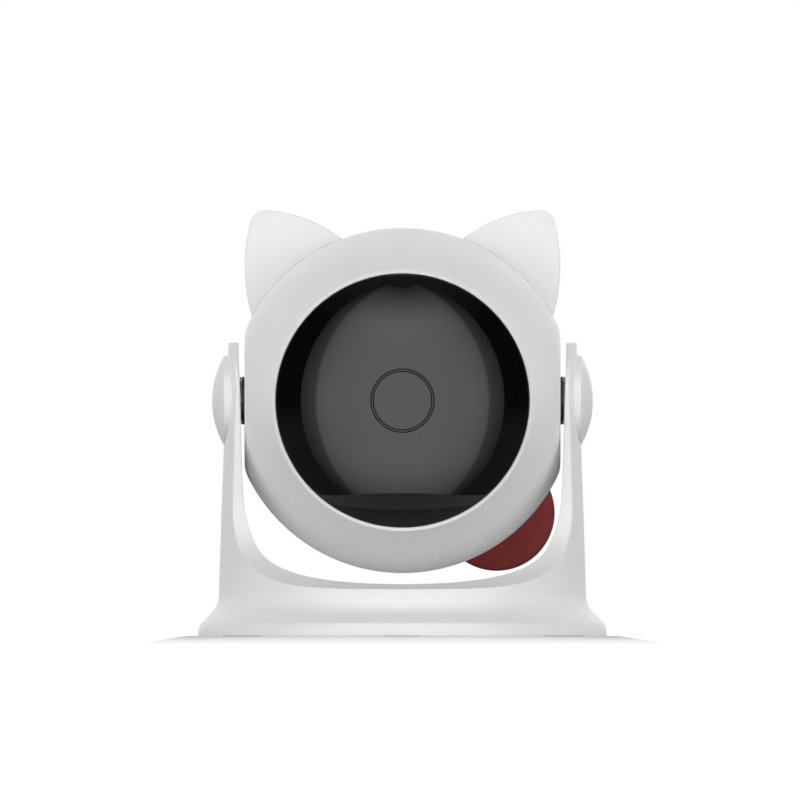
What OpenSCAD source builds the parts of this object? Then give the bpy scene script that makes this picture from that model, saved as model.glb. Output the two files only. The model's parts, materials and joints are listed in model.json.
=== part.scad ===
// Automatic cat laser toy: a ball-shaped head with cat ears, tilting between
// the two arms of a round bell-shaped stand.
// Millimetres. Origin on the floor under the middle of the stand, +Z up, face towards -Y.

/* [Head] */
// Radius of the ball-shaped head
head_r = 53.5; // [50:0.5:65]
// How far each flat side is cut in from the ball
side_cut = 4.5; // [3:0.5:7]
// Wall thickness of the head shells
shell_t = 2.2; // [1.8:0.1:3]
// Radius of the round front opening
opening_r = 39.4; // [34:0.2:42]
// Width of the flat lip around the front opening
lip_w = 1.1; // [0.6:0.1:2]
// How far the flat back is cut in from the ball
back_cut = 17.5; // [15:0.5:21]
// Place of the parting line between the shells, behind the tilt axis
seam_y = 1.5; // [0:0.5:3]

/* [Ears] */
// Radius of the curve along the outer edge of an ear
ear_outer_r = 56.1; // [50:0.5:62]
// Radius of the curve along the top edge of an ear
ear_top_r = 41.9; // [38:0.5:46]
// Radius of the rounded tip of an ear
ear_tip_r = 5; // [2:0.2:6]
// Thickness of an ear
ear_t = 6; // [3:0.5:8]

/* [Stand] */
// How far the foot stands out past the waist above it
rim_out = 6.5; // [5.5:0.5:12]
// Thickness of the stand at its waist
waist_t = 3.4; // [3:0.2:5]
// Gap under the head, down to the bowl floor
head_lift = 5.2; // [4:0.2:10]
// Half width of an arm, and radius of its round top
arm_r = 18; // [15:0.5:22]
// Height of the bowl floor inside the stand
bowl_z = 14.3; // [14:0.2:18]
// Gap between the stand's rim and the floor, set by the rubber feet
foot_gap = 0.4; // [0.4:0.1:1.5]

/* [Side knobs and pivot] */
// Radius of a side knob
knob_r = 13.9; // [13:0.2:17]
// Height of a knob's dome
knob_dome_h = 3.7; // [3:0.2:6]
// Height of a knob's skirt, from its seat to its dome
knob_skirt_h = 2.45; // [2:0.05:4]
// Radius of the pivot barrel seen between head and arm
barrel_r = 7.4; // [6:0.2:9]
// Step from the pivot barrel down to the pin in the arm's bore
pin_step = 1.4; // [1.2:0.1:2]

/* [Face] */
// Radius of the power button
button_r = 9; // [6:0.2:12]
// Width of the ring round the button
button_ring_w = 0.6; // [0.6:0.1:2]
// Travel of the button
button_travel = 1; // [0.4:0.1:1.2]
// Thickness of the smoked lens
lens_t = 1.8; // [1.2:0.1:2.4]

/* [Tag] */
// Radius of the round hanging tag
tag_r = 18; // [12:0.5:20]
// Thickness of the tag
tag_t = 1.6; // [1:0.1:2.5]

/* [Mirror drive] */
// Module of the gear teeth
tooth_m = 0.5; // [0.4:0.05:0.6]
// Teeth on the gear that carries the mirror
gear_teeth = 36; // [30:1:40]
// Teeth on the motor pinion
pinion_teeth = 12; // [10:1:16]
// Radius of the laser diode's barrel
laser_r = 3; // [2.4:0.1:4]
// Angle of the laser's barrel above level, looking down at the mirror
beam_deg = 25; // [15:1:30]

/* [Power] */
// Radius of the round battery cell
cell_r = 9; // [7:0.5:11]
// Length of the battery cell
cell_len = 65; // [50:1:65]

/* [Clearances] */
// Radial running clearance of pins, axles and the button
run_gap = 0.05; // [0.02:0.01:0.1]
// Gap between pieces that only sit together
seat_gap = 0.1; // [0.05:0.05:0.2]
// Gap between faces that pass each other when something moves
pass_gap = 0.4; // [0.3:0.05:1]

/* [Hidden] */
$fn = 96;
// Overlap of shapes that join, reach of cuts past a face, reach of endless cuts, and the gap
// of a press fit
eps = 0.01;
over = 1;
big = 400;
snug_gap = 0.02;

// Screws: shank, head, countersink and the extra radius of a passing hole
screw_r = 1.2;
screw_head_r = 2.5;
screw_head_h = 1.8;
screw_sink = 1.1;
hole_gap = 0.2;
small_head_r = 2;
small_head_h = 1.2;

// Head
pivot_z = bowl_z + head_lift + head_r;
side_flat_x = head_r - side_cut;
back_y = head_r - back_cut;
inner_r = head_r - shell_t;
lip_r = opening_r + lip_w;
lip_y = -sqrt(pow(head_r, 2) - pow(lip_r, 2));
lip_depth = 2.8;
seat_y = lip_y + lip_depth;
flange_r = lip_r + 0.9;
flange_t = 1.8;
retainer_t = 2;
retainer_y = seat_y + flange_t + seat_gap;
retainer_in_r = opening_r - 2.4;
seat_end_y = retainer_y + retainer_t + seat_gap;
seat_wall = 2;
flat_in_x = side_flat_x - shell_t;

// Rear cover
cover_t = 1.8;
cover_r = sqrt(pow(head_r, 2) - pow(back_y, 2)) - 2.2;
ledge_w = 7;
ledge_t = 2;
cover_y = back_y - cover_t;
ledge_y = cover_y - ledge_t;
cover_screw_in = 3.6;
cover_screw_ring_r = cover_r - cover_screw_in;
cover_screw_deg = [60, 120, 240, 300];
cover_screw_len = 6;
cover_boss_r = 2.6;
cover_boss_len = 5;

// Ears: two circles that cross, placed from the point where the ear leaves the ball
ear_deg = 133;
ear_root = head_r * [cos(ear_deg), sin(ear_deg)];
ear_a = ear_root + [43.65, 2.77];
ear_b = ear_root + [-8.26, -21.93];
ear_inner = ear_root + [16.5, -3.1];
ear_ra = ear_outer_r - ear_tip_r;
ear_rb = ear_top_r - ear_tip_r;
ear_gap = norm(ear_b - ear_a);
ear_along = (pow(ear_ra, 2) - pow(ear_rb, 2) + pow(ear_gap, 2)) / (2 * ear_gap);
ear_off = sqrt(pow(ear_ra, 2) - pow(ear_along, 2));
ear_u = (ear_b - ear_a) / ear_gap;
ear_tip = ear_a + ear_along * ear_u + ear_off * [ear_u[1], -ear_u[0]];
ear_ta = atan2(ear_tip[1] - ear_a[1], ear_tip[0] - ear_a[0]);
ear_tb = atan2(ear_tip[1] - ear_b[1], ear_tip[0] - ear_b[0]);
ear_a_deg = 39;
ear_b_deg = 48;
ear_y = seam_y + 0.5;
ear_peg_r = 1.4;
ear_peg_spread = 11;
ear_peg_in = 2;
ear_peg_out = 1;

// Lens and button
lens_r = norm([opening_r, lip_y]);
lens_in_r = lens_r - lens_t;
lens_edge_r = opening_r - seat_gap;
ring_in_r = button_r + run_gap + seat_gap;
ring_r = ring_in_r + button_ring_w;
lens_hole_r = ring_r + seat_gap;
ring_flange_r = ring_r + 2.4;
ring_flange_y = -sqrt(pow(lens_in_r, 2) - pow(ring_flange_r, 2)) + seat_gap;
ring_flange_t = 1.5;
ring_back_y = ring_flange_y + ring_flange_t;
cap_back_y = ring_back_y + seat_gap;
cap_flange_t = 1;
cap_flange_r = ring_r + 0.3;
stem_r = 2;
plunger_r = 1.6;
plunger_y = cap_back_y + cap_flange_t + 1.6;
switch_gap = 0.2;
switch_y = plunger_y + button_travel + switch_gap;
switch_h = 3.5;
switch_w = 6;
plunger_end_y = switch_y + 1.2;
board_y = switch_y + switch_h;
board_t = 1.2;
button_post_ring_r = 11;
button_post_deg = [0, 90, 180];
button_post_r = 2.4;
board_r = button_post_ring_r + 3;
board_screw_len = 8;

// Chassis: plate, posts, shelf under the board, rails of the cell and holes for wires
chassis_t = 2;
chassis_y = seam_y - chassis_t;
boss_r = 3.4;
boss_front_y = lip_y + 8;
shell_screw_y = boss_front_y + 9;
well_r = 3;
well_wall = 1.4;
well_seat_y = seam_y + 8.5;
post_ring_r = cover_r + well_r + 1.1;
post_deg = [45, 135, 225, 315];
chassis_r = post_ring_r - 2.5;
wire_hole_r = 5;
wire_hole_x = 27;

// Mirror drive
mirror_pos = [0, -14, -18];
gear_r = tooth_m * gear_teeth / 2;
pinion_r = tooth_m * pinion_teeth / 2;
gear_t = 2.4;
gear_front_y = mirror_pos[1] + 2.4;
gear_back_y = gear_front_y + gear_t;
axle_r = 1;
axle_gap = 0.2;
axle_post_r = 3;
axle_post_gap = 0.3;
mirror_r = 5.5;
mirror_t = 1;
mirror_tilt = 4;
mirror_rim = 0.6;
mirror_lift = 1;
pinion_x = gear_r + pinion_r + 0.1;
pinion_over = 0.3;
pinion_hole_gap = 1;

// Motor and its strap
motor_w = 12;
motor_h = 10;
motor_len = 24;
gearbox_len = 9;
motor_shaft_r = 0.8;
shaft_in = 1.5;
strap_t = 1.2;
strap_d = 5;
strap_gap = 0.05;
strap_tab_w = 6;
strap_tab_h = 7;
strap_screw_out = 4;
motor_low = [pinion_x - motor_w / 2, seam_y, mirror_pos[2] - motor_h / 2];
motor_high = [pinion_x + motor_w / 2, seam_y + motor_len, mirror_pos[2] + motor_h / 2];

// Laser: its places along the beam, its clamp and the clamp's post
laser_near = 10;
laser_far = 22;
laser_mouth = 3;
laser_cap_t = 1.2;
laser_cap_in = 0.6;
clamp_wall = 2;
clamp_near = laser_near + 3;
clamp_len = 6;
clamp_tab_t = 1.5;
clamp_tab_w = 5;
laser_post_out = 14;
laser_post_w = 6;
laser_post_h = 5;
laser_post_y = mirror_pos[1] - laser_post_out;
laser_post_z = mirror_pos[2] + max(gear_r + 2, laser_post_out * tan(beam_deg)
  + (laser_r + clamp_wall) / cos(beam_deg) + 2 * seat_gap);

// Power
cell_y = 20;
cell_z = 13;
cell_cap_t = 1.2;
rail_x = 22;
rail_w = 4;
rail_over = 2;
cell_strap_t = 1.6;
board_x0 = -30;
board_x1 = 2;
mainboard_z = -5;
mainboard_t = 1.6;
mainboard_y0 = 4;
mainboard_y1 = back_y - 5;
mainboard_top = mainboard_z + mainboard_t;
shelf_t = 1.5;
shelf_gap = 2.5;
shelf_post_r = 2;
chip_at = [-24, 9];
chip_w = 7;
chip_t = 1.4;
pins_x = [-12 : 4 : -4];
pin_size = [2, 1.4, 0.8];
usb_x = -13;
usb_w = 9;
usb_h = 3.2;
usb_wall = 0.4;
usb_gap = 0.3;
usb_sink = 0.8;
usb_sink_w = 1.6;
usb_y0 = back_y - 9;
usb_y1 = back_y - 0.9;

// Tag, hung straight down from a rivet on the rear cover
tag_x = 29.2;
tag_z = -34.8;
rivet_in = 3.5;
rivet_z = tag_z + tag_r - rivet_in;
rivet_r = 1.5;
rivet_head_r = 2.8;
rivet_foot_t = 0.7;
rivet_foot_y = cover_y - rivet_foot_t - seat_gap;
rivet_well_gap = 0.3;
tag_y = back_y + pass_gap;
tag_back_y = tag_y + tag_t;
eyelet_r = 2.4;
eyelet_flange_r = 3.2;
eyelet_flange_t = 0.3;
rivet_head_y = tag_back_y + eyelet_flange_t + pass_gap;
rivet_head_t = 0.8;

// Stand
bowl_top_r = head_r;
bowl_corner_r = 14;
bowl_corner_x = bowl_top_r - bowl_corner_r - 2.2;
bowl_draft_r = 0.65;
bowl_draft_z = 13;
waist_r = bowl_top_r + waist_t;
rim_r = waist_r + rim_out;
flare_r = 8.6;
flare_z = bowl_z - 1.2;
flare_x = waist_r + flare_r;
rim_edge_r = 7.3;
rim_edge_deg = 30;
arm_taper = 0.026;
arm_bow = 0.00015;
arm_in_x = side_flat_x + 1.4;
arm_in_deg = 1.4;
arm_foot_z = bowl_z + 27.9;
arm_foot_y = arm_r + 1.07;
sweep_y = waist_r - arm_foot_y;
sweep_z = 27.6;
stand_top = pivot_z + arm_r;
floor_t = 2.3;
cavity_r = waist_r - 3.3;

// Base
plate_t = 2;
plate_r = rim_r - 2.8;
plate_z = foot_gap;
foot_r = 6;
foot_h = foot_gap + 1;
foot_ring_r = plate_r - foot_r - 4.6;
base_screw_ring_r = foot_ring_r - 6;
base_boss_r = 4;
base_screw_len = 8;
base_screw_in = 0.1;

// Pivot: the knob's seat and spigot in the arm, the pin's bore and the lip behind it
pad_r = 14;
knob_seat_x = arm_in_x + 2.5;
pin_r = barrel_r - pin_step;
bore_r = pin_r + run_gap;
lip_pin_r = pin_r + 0.8;
lip_pin_t = 1.1;
lip_pin_x = knob_seat_x - 0.85;
spigot_r = lip_pin_r + 2.7;
spigot_t = 1.3;
spigot_h = 1;
washer_t = 0.5;
washer_in = 0.1;
trunnion_flange_r = barrel_r + 2.6;
trunnion_flange_t = 2.2;
trunnion_x = flat_in_x - trunnion_flange_t;
split_w = 0.8;
key_w = 0.4;
key_in = 0.6;

// Places and simple shapes

module at_head() { translate([0, 0, pivot_z]) children(); }

module both_sides() { for (turn = [0, 180]) rotate(turn) children(); }

module along_y(y0, y1, r, x = 0, z = 0) {
  translate([x, y0, z]) rotate([-90, 0, 0]) cylinder(h = y1 - y0, r = r);
}

module along_x(x0, x1, r) {
  translate([x0, 0, 0]) rotate([0, 90, 0]) cylinder(h = x1 - x0, r = r);
}

module slab_x(half) { cube([2 * half, big, big], center = true); }

module slab_y(y0, y1) { translate([-big / 2, y0, -big / 2]) cube([big, y1 - y0, big]); }

module box(low, high) { translate(low) cube(high - low); }

module ring_of(degrees, r) {
  for (a = degrees) translate([r * cos(a), 0, r * sin(a)]) children();
}

module pan_screw(y_head, length) {
  along_y(y_head, y_head + screw_head_h, screw_head_r);
  along_y(y_head - length, y_head + eps, screw_r);
}

// Points of a circle arc from one angle to another
function arc(cx, cy, r, from, to, n) =
  [for (i = [0 : n]) let(a = from + (to - from) * i / n) [cx + r * cos(a), cy + r * sin(a)]];

// Outer radius of the stand at height z: a slight taper that bows with height
function stand_r(z) =
  waist_r - arm_taper * (z - flare_z) - arm_bow * pow(z - flare_z, 2);

// Stand

module stand_outer() {
  rotate_extrude() polygon(concat(
    [[0, foot_gap]],
    arc(rim_r - rim_edge_r, foot_gap, rim_edge_r, 0, rim_edge_deg, 5),
    arc(flare_x, flare_z, flare_r, 225, 180, 8),
    [for (i = [1 : 10]) let(z = flare_z + (stand_top + over - flare_z) * i / 10)
      [stand_r(z), z]],
    [[0, stand_top + over]]));
}

module bowl_space() {
  rotate_extrude() polygon(concat(
    [[0, bowl_z]],
    arc(bowl_corner_x, bowl_z + bowl_corner_r, bowl_corner_r, 270, 355, 12),
    [[bowl_top_r - bowl_draft_r, arm_foot_z], [bowl_top_r, arm_foot_z + bowl_draft_z]],
    [[bowl_top_r, stand_top + 2 * over], [0, stand_top + 2 * over]]));
}

// Space between the arms: their inner faces lean out by a small draft angle
module arm_gap() {
  top_half = arm_in_x + (big / 4) * tan(arm_in_deg);
  foot_half = arm_in_x - pivot_z * tan(arm_in_deg);
  rotate([90, 0, 0]) translate([0, 0, -big / 2]) linear_extrude(big) polygon([
    [-foot_half, 0], [foot_half, 0],
    [top_half, pivot_z + big / 4], [-top_half, pivot_z + big / 4]]);
}

// Side view of the stand: round-topped arms that sweep out into the foot
module side_profile() {
  sweep_c = arm_foot_y + sweep_y;
  side = [for (i = [0 : 14]) let(a = 180 + 90 * i / 14)
    [sweep_c + sweep_y * cos(a), arm_foot_z + sweep_z * sin(a)]];
  polygon(concat(
    side, [[rim_r + over, arm_foot_z - sweep_z], [rim_r + over, 0]],
    [[-rim_r - over, 0], [-rim_r - over, arm_foot_z - sweep_z]],
    [for (i = [14 : -1 : 0]) [-side[i][0], side[i][1]]],
    arc(0, pivot_z, arm_r, 180, 0, 28)));
}

module base_screw_places() {
  for (a = [45 : 90 : 315]) rotate(a) translate([base_screw_ring_r, 0, 0]) children();
}

module stand_frame() color("whitesmoke") {
  difference() {
    intersection() {
      stand_outer();
      rotate([90, 0, 90]) translate([0, 0, -big / 2]) linear_extrude(big) side_profile();
    }
    intersection() {
      bowl_space();
      difference() {
        arm_gap();
        at_head() both_sides() along_x(arm_in_x, big / 4, pad_r);
      }
    }
    at_head() along_x(-arm_in_x, arm_in_x, pad_r);
    difference() {
      translate([0, 0, -over]) cylinder(h = bowl_z - floor_t + over, r = cavity_r);
      base_screw_places() cylinder(h = bowl_z, r = base_boss_r);
    }
    translate([0, 0, -over])
      cylinder(h = plate_z + plate_t + seat_gap + over, r = plate_r + seat_gap);
    base_screw_places() cylinder(h = plate_z + base_screw_len + over, r = screw_r);
    at_head() both_sides() {
      along_x(arm_in_x - over, big / 4, bore_r);
      along_x(knob_seat_x - spigot_h - seat_gap, big / 4, spigot_r + seat_gap);
      along_x(knob_seat_x, big / 4, knob_r + seat_gap);
    }
  }
}

module base_plate() color("gainsboro") {
  difference() {
    translate([0, 0, plate_z]) cylinder(h = plate_t, r = plate_r);
    foot_places() translate([0, 0, -over]) cylinder(h = foot_h + over, r = foot_r + seat_gap);
    base_screw_places() translate([0, 0, plate_z - eps])
      cylinder(h = plate_t + over, r1 = screw_head_r + seat_gap, r2 = screw_r + seat_gap);
  }
}

module foot_places() {
  for (a = [0 : 90 : 270]) rotate(a) translate([foot_ring_r, 0, 0]) children();
}

module rubber_feet() color("dimgray") { foot_places() cylinder(h = foot_h, r = foot_r); }

module base_screws() color("silver") {
  base_screw_places() translate([0, 0, plate_z + base_screw_in]) {
    cylinder(h = plate_t - 2 * base_screw_in, r1 = screw_head_r, r2 = screw_r);
    cylinder(h = base_screw_len, r = screw_r);
  }
}

// Pivots

module side_knob() {
  dome_r = (knob_r * knob_r + knob_dome_h * knob_dome_h) / (2 * knob_dome_h);
  dome_c = knob_skirt_h + knob_dome_h - dome_r;
  rim_a = asin((knob_skirt_h - dome_c) / dome_r);
  translate([knob_seat_x, 0, 0]) rotate([0, 90, 0]) rotate_extrude() polygon(concat(
    [[spigot_r - spigot_t, -spigot_h], [spigot_r, -spigot_h], [spigot_r, 0], [knob_r, 0]],
    arc(0, dome_c, dome_r, rim_a, 90, 12),
    [[0, knob_skirt_h + over], [spigot_r - spigot_t, knob_skirt_h + over]]));
}

module side_knob_left() color("white") { at_head() rotate(180) side_knob(); }

module side_knob_right() color("white") { at_head() side_knob(); }

module friction_washers() color("black") {
  at_head() both_sides() difference() {
    along_x(arm_in_x - washer_t, arm_in_x, barrel_r - washer_in);
    along_x(arm_in_x - washer_t - over, arm_in_x + over, bore_r + seat_gap);
  }
}

// Flanged pin with a slot through its outer end, so that its lip snaps behind the arm. Two
// keys close the slot again where the shell's bore holds the barrel.
module trunnion() {
  difference() {
    union() {
      along_x(trunnion_x, flat_in_x - seat_gap, trunnion_flange_r);
      along_x(trunnion_x, arm_in_x - washer_t - seat_gap, barrel_r);
      along_x(flat_in_x, lip_pin_x, pin_r);
      along_x(lip_pin_x - eps, lip_pin_x + lip_pin_t, lip_pin_r);
    }
    box([trunnion_x - over, -barrel_r - over, -split_w / 2],
      [lip_pin_x + lip_pin_t + over, barrel_r + over, split_w / 2]);
    along_x(trunnion_x - over, lip_pin_x + lip_pin_t + over, pin_r / 2);
  }
  for (turn = [0, 180]) rotate([turn, 0, 0])
    box([trunnion_x, pin_r / 2 + key_w, -split_w / 2 - eps],
      [flat_in_x - key_in, pin_r, split_w / 2 + eps]);
}

module trunnion_left() color("dimgray") { at_head() rotate(180) trunnion(); }

module trunnion_right() color("dimgray") { at_head() trunnion(); }

// Head shells

module head_ball(r, flat_x) { intersection() { sphere(r); slab_x(flat_x); } }

module trunnion_bores() { along_x(-big / 4, big / 4, barrel_r + run_gap); }

module front_shell() color("whitesmoke") {
  at_head() difference() {
    union() {
      difference() {
        intersection() { head_ball(head_r, side_flat_x); slab_y(lip_y, seam_y); }
        head_ball(inner_r, flat_in_x);
      }
      intersection() {
        head_ball(inner_r + over, flat_in_x + over);
        union() {
          ring_of(post_deg, post_ring_r) along_y(boss_front_y, chassis_y, boss_r);
          along_y(seat_y, seat_end_y, flange_r + seat_wall);
        }
      }
    }
    along_y(lip_y - over, 0, opening_r);
    along_y(seat_y, seat_end_y + over, flange_r + seat_gap);
    ring_of(post_deg, post_ring_r) along_y(shell_screw_y - over, seam_y + over, screw_r);
    trunnion_bores();
  }
}

module rear_shell() color("whitesmoke") {
  at_head() difference() {
    union() {
      difference() {
        intersection() { head_ball(head_r, side_flat_x); slab_y(seam_y, back_y); }
        intersection() {
          head_ball(inner_r, flat_in_x);
          slab_y(-big / 4, ledge_y);
        }
      }
      intersection() {
        head_ball(inner_r + over, flat_in_x + over);
        ring_of(post_deg, post_ring_r) along_y(seam_y, ledge_y, well_r + well_wall);
      }
      ring_of(cover_screw_deg, cover_screw_ring_r)
        along_y(ledge_y - cover_boss_len, cover_y, cover_boss_r);
    }
    along_y(ledge_y - over, back_y + over, cover_r - ledge_w);
    along_y(cover_y, back_y + over, cover_r + seat_gap);
    ring_of(post_deg, post_ring_r) {
      along_y(seam_y - over, big / 4, screw_r + hole_gap);
      along_y(well_seat_y, big / 4, well_r);
    }
    ring_of(cover_screw_deg, cover_screw_ring_r)
      along_y(back_y - over - cover_screw_len - over, back_y, screw_r);
    along_y(rivet_foot_y - rivet_well_gap, cover_y + over, rivet_head_r + rivet_well_gap,
      tag_x, rivet_z);
    trunnion_bores();
    for (s = [-1, 1]) ear_peg(s, seat_gap);
  }
}

module usb_hole(grow, y0, y1) {
  hull() for (s = [-1, 1])
    along_y(y0, y1, usb_h / 2 + grow, usb_x + s * (usb_w - usb_h) / 2,
      mainboard_top + usb_h / 2);
}

module rear_cover() color("gainsboro") {
  at_head() difference() {
    along_y(cover_y, back_y, cover_r);
    usb_hole(usb_gap, cover_y - over, back_y + over);
    usb_hole(usb_sink_w, back_y - usb_sink, back_y + over);
    ring_of(cover_screw_deg, cover_screw_ring_r) {
      along_y(cover_y - over, back_y + over, screw_r + hole_gap);
      along_y(back_y - screw_sink, back_y + over, screw_head_r + hole_gap);
    }
    along_y(cover_y - over, back_y + over, rivet_r + run_gap, tag_x, rivet_z);
  }
}

module cover_screws() color("silver") {
  at_head() ring_of(cover_screw_deg, cover_screw_ring_r) {
    along_y(back_y - screw_sink, back_y - seat_gap, screw_head_r);
    along_y(back_y - over - cover_screw_len, back_y - over, screw_r);
  }
}

module shell_screws() color("silver") {
  at_head() ring_of(post_deg, post_ring_r) pan_screw(well_seat_y, well_seat_y - shell_screw_y);
}

// Ears: the outline is where the two circles cross, with a round tip

module ear_outline() {
  polygon(concat(
    arc(ear_a[0], ear_a[1], ear_outer_r, ear_ta + ear_a_deg, ear_ta, 12),
    arc(ear_tip[0], ear_tip[1], ear_tip_r, ear_ta, ear_tb, 6),
    arc(ear_b[0], ear_b[1], ear_top_r, ear_tb, ear_tb - ear_b_deg, 12),
    [ear_inner]));
}

module ear_plate(y0, y1) {
  translate([0, y1, 0]) rotate([90, 0, 0]) linear_extrude(y1 - y0) ear_outline();
}

module ear_peg(s, grow) {
  a = 90 + s * (ear_deg - 90);
  for (b = [-ear_peg_spread, ear_peg_spread])
    rotate([0, -(a + b), 0]) translate([0, ear_y + ear_t / 2, 0])
      along_x(inner_r - ear_peg_in, head_r + ear_peg_out, ear_peg_r + grow);
}

module ear(s) {
  at_head() union() {
    difference() {
      mirror([s < 0 ? 1 : 0, 0, 0]) ear_plate(ear_y, ear_y + ear_t);
      sphere(head_r + snug_gap);
    }
    ear_peg(s, 0);
  }
}

module ear_left() color("white") { ear(1); }

module ear_right() color("white") { ear(-1); }

// Face

module lens() color("darkslategray") {
  at_head() difference() {
    union() {
      intersection() {
        difference() { sphere(lens_r); sphere(lens_in_r); }
        along_y(-big / 4, seat_y, lens_edge_r);
      }
      difference() {
        along_y(lip_y, seat_y + flange_t, lens_edge_r);
        along_y(lip_y - over, seat_y + flange_t + over, lens_edge_r - lens_t);
      }
      difference() {
        along_y(seat_y, seat_y + flange_t, flange_r);
        along_y(seat_y - over, seat_y + flange_t + over, lens_edge_r - lens_t);
      }
    }
    along_y(-big / 4, 0, lens_hole_r);
  }
}

module lens_retainer() color("black") {
  at_head() difference() {
    along_y(retainer_y, retainer_y + retainer_t, flange_r);
    along_y(retainer_y - over, retainer_y + retainer_t + over, retainer_in_r);
  }
}

module button_ring() color("black") {
  at_head() difference() {
    intersection() {
      sphere(lens_r);
      union() {
        along_y(-big / 4, ring_back_y, ring_r);
        along_y(ring_flange_y, ring_back_y, ring_flange_r);
      }
    }
    along_y(-big / 4, 0, ring_in_r);
  }
}

module power_button() color("dimgray") {
  at_head() {
    intersection() {
      sphere(lens_r);
      along_y(-big / 4, cap_back_y + eps, button_r + seat_gap);
    }
    along_y(cap_back_y, cap_back_y + cap_flange_t, cap_flange_r);
    along_y(cap_back_y, plunger_y, stem_r);
  }
}

module switch_plunger() color("white") {
  at_head() along_y(plunger_y, plunger_end_y, plunger_r);
}

module power_switch() color("black") {
  at_head() difference() {
    box([-switch_w / 2, switch_y, -switch_w / 2], [switch_w / 2, board_y, switch_w / 2]);
    along_y(switch_y - over, plunger_end_y + button_travel + switch_gap, plunger_r + run_gap);
  }
}

module button_board() color("darkgreen") {
  at_head() difference() {
    along_y(board_y, board_y + board_t, board_r);
    ring_of(button_post_deg, button_post_ring_r)
      along_y(board_y - over, board_y + board_t + over, screw_r + seat_gap);
  }
}

module board_screws() color("silver") {
  at_head() ring_of(button_post_deg, button_post_ring_r) {
    along_y(board_y - small_head_h, board_y, small_head_r);
    along_y(board_y - over, board_y - over + board_screw_len, screw_r);
  }
}

// Chassis: a round plate clamped between the shells, with its posts and shelf

module chassis() color("darkgray") {
  at_head() difference() {
    union() {
      along_y(chassis_y, seam_y, chassis_r);
      ring_of(post_deg, post_ring_r) along_y(chassis_y, seam_y, boss_r);
      ring_of(button_post_deg, button_post_ring_r)
        along_y(board_y + board_t, chassis_y + eps, button_post_r);
      along_y(gear_back_y + axle_post_gap, chassis_y + eps, axle_post_r,
        mirror_pos[0], mirror_pos[2]);
      board_shelf();
      for (s = [-1, 1]) cell_rail(s * rail_x);
      box([-laser_post_w / 2, laser_post_y, laser_post_z],
        [laser_post_w / 2, chassis_y + eps, laser_post_z + laser_post_h]);
    }
    ring_of(post_deg, post_ring_r) along_y(chassis_y - over, seam_y + over, screw_r + hole_gap);
    ring_of(button_post_deg, button_post_ring_r)
      along_y(board_y - over, board_y + board_screw_len, screw_r);
    along_y(gear_front_y, seam_y + over, axle_r, mirror_pos[0], mirror_pos[2]);
    along_y(chassis_y - over, seam_y + over, pinion_r + pinion_hole_gap,
      pinion_x, mirror_pos[2]);
    strap_screw_places() along_y(chassis_y - over, seam_y + over, screw_r);
    for (s = [-1, 1]) along_y(chassis_y - over, seam_y + over, wire_hole_r, s * wire_hole_x);
  }
}

// Shelf with four posts under the main board
module board_shelf() {
  shelf_top = mainboard_z - shelf_gap;
  box([board_x0, seam_y - eps, shelf_top - shelf_t], [board_x1, mainboard_y1 - 5, shelf_top]);
  for (x = [board_x0 + 3, board_x1 - 3], y = [mainboard_y0 + 2, mainboard_y1 - 9])
    translate([x, y, shelf_top - eps]) cylinder(h = shelf_gap + eps, r = shelf_post_r);
}

// Rail that cradles the cell, with its middle at x
module cell_rail(x) {
  difference() {
    box([x - rail_w / 2, seam_y - eps, cell_z - cell_r - rail_over],
      [x + rail_w / 2, cell_y, cell_z + cell_r + rail_over]);
    at_cell() along_x(-big / 4, big / 4, cell_r + seat_gap);
  }
}

module at_cell() { translate([0, cell_y, cell_z]) children(); }

// Laser: a barrel aimed down and back at the mirror, held by a clamp

module at_beam() {
  at_head() translate(mirror_pos) rotate([90 - beam_deg, 0, 0]) children();
}

module laser_module() color("goldenrod") {
  at_beam() {
    translate([0, 0, laser_near]) difference() {
      cylinder(h = laser_far - laser_near, r = laser_r);
      translate([0, 0, -over]) cylinder(h = laser_mouth + over, r = laser_r - 2 * laser_cap_in);
    }
    translate([0, 0, laser_far - eps]) cylinder(h = laser_cap_t, r = laser_r - laser_cap_in);
  }
}

module laser_clamp() color("dimgray") {
  difference() {
    union() {
      at_beam() translate([0, 0, clamp_near]) cylinder(h = clamp_len, r = laser_r + clamp_wall);
      at_head() box([-clamp_tab_w / 2, laser_post_y - clamp_tab_t, laser_post_z - clamp_wall],
        [clamp_tab_w / 2, laser_post_y, laser_post_z + laser_post_h]);
    }
    at_beam() translate([0, 0, laser_near - over]) cylinder(h = laser_far, r = laser_r + snug_gap);
  }
}

// Mirror on its gear, turned by the motor's pinion

module gear_wheel(teeth, thick, bore, turn) {
  pitch = tooth_m * teeth / 2;
  root = pitch - 1.2 * tooth_m;
  tip = pitch + 0.9 * tooth_m;
  half = 360 / teeth / 4;
  rotate([-90, 0, 0]) linear_extrude(thick) difference() {
    polygon([for (i = [0 : teeth - 1]) let(a = turn + 360 * i / teeth)
      for (p = [[root, -1.5 * half], [root, -1.1 * half], [pitch, -0.86 * half],
        [tip, -0.45 * half], [tip, 0.45 * half], [pitch, 0.86 * half], [root, 1.1 * half],
        [root, 1.5 * half]])
        [p[0] * cos(a + p[1]), p[0] * sin(a + p[1])]]);
    circle(bore);
  }
}

module gear_axle() color("silver") {
  at_head() along_y(gear_front_y + axle_gap, seam_y, axle_r, mirror_pos[0], mirror_pos[2]);
}

module mirror_gear() color("ivory") {
  at_head() translate([mirror_pos[0], 0, mirror_pos[2]]) {
    translate([0, gear_front_y, 0]) gear_wheel(gear_teeth, gear_t, axle_r + run_gap, 0);
    difference() {
      along_y(mirror_pos[1] + mirror_rim, gear_front_y + eps, mirror_r + mirror_rim);
      mirror_face(mirror_t + mirror_r);
    }
  }
}

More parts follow.
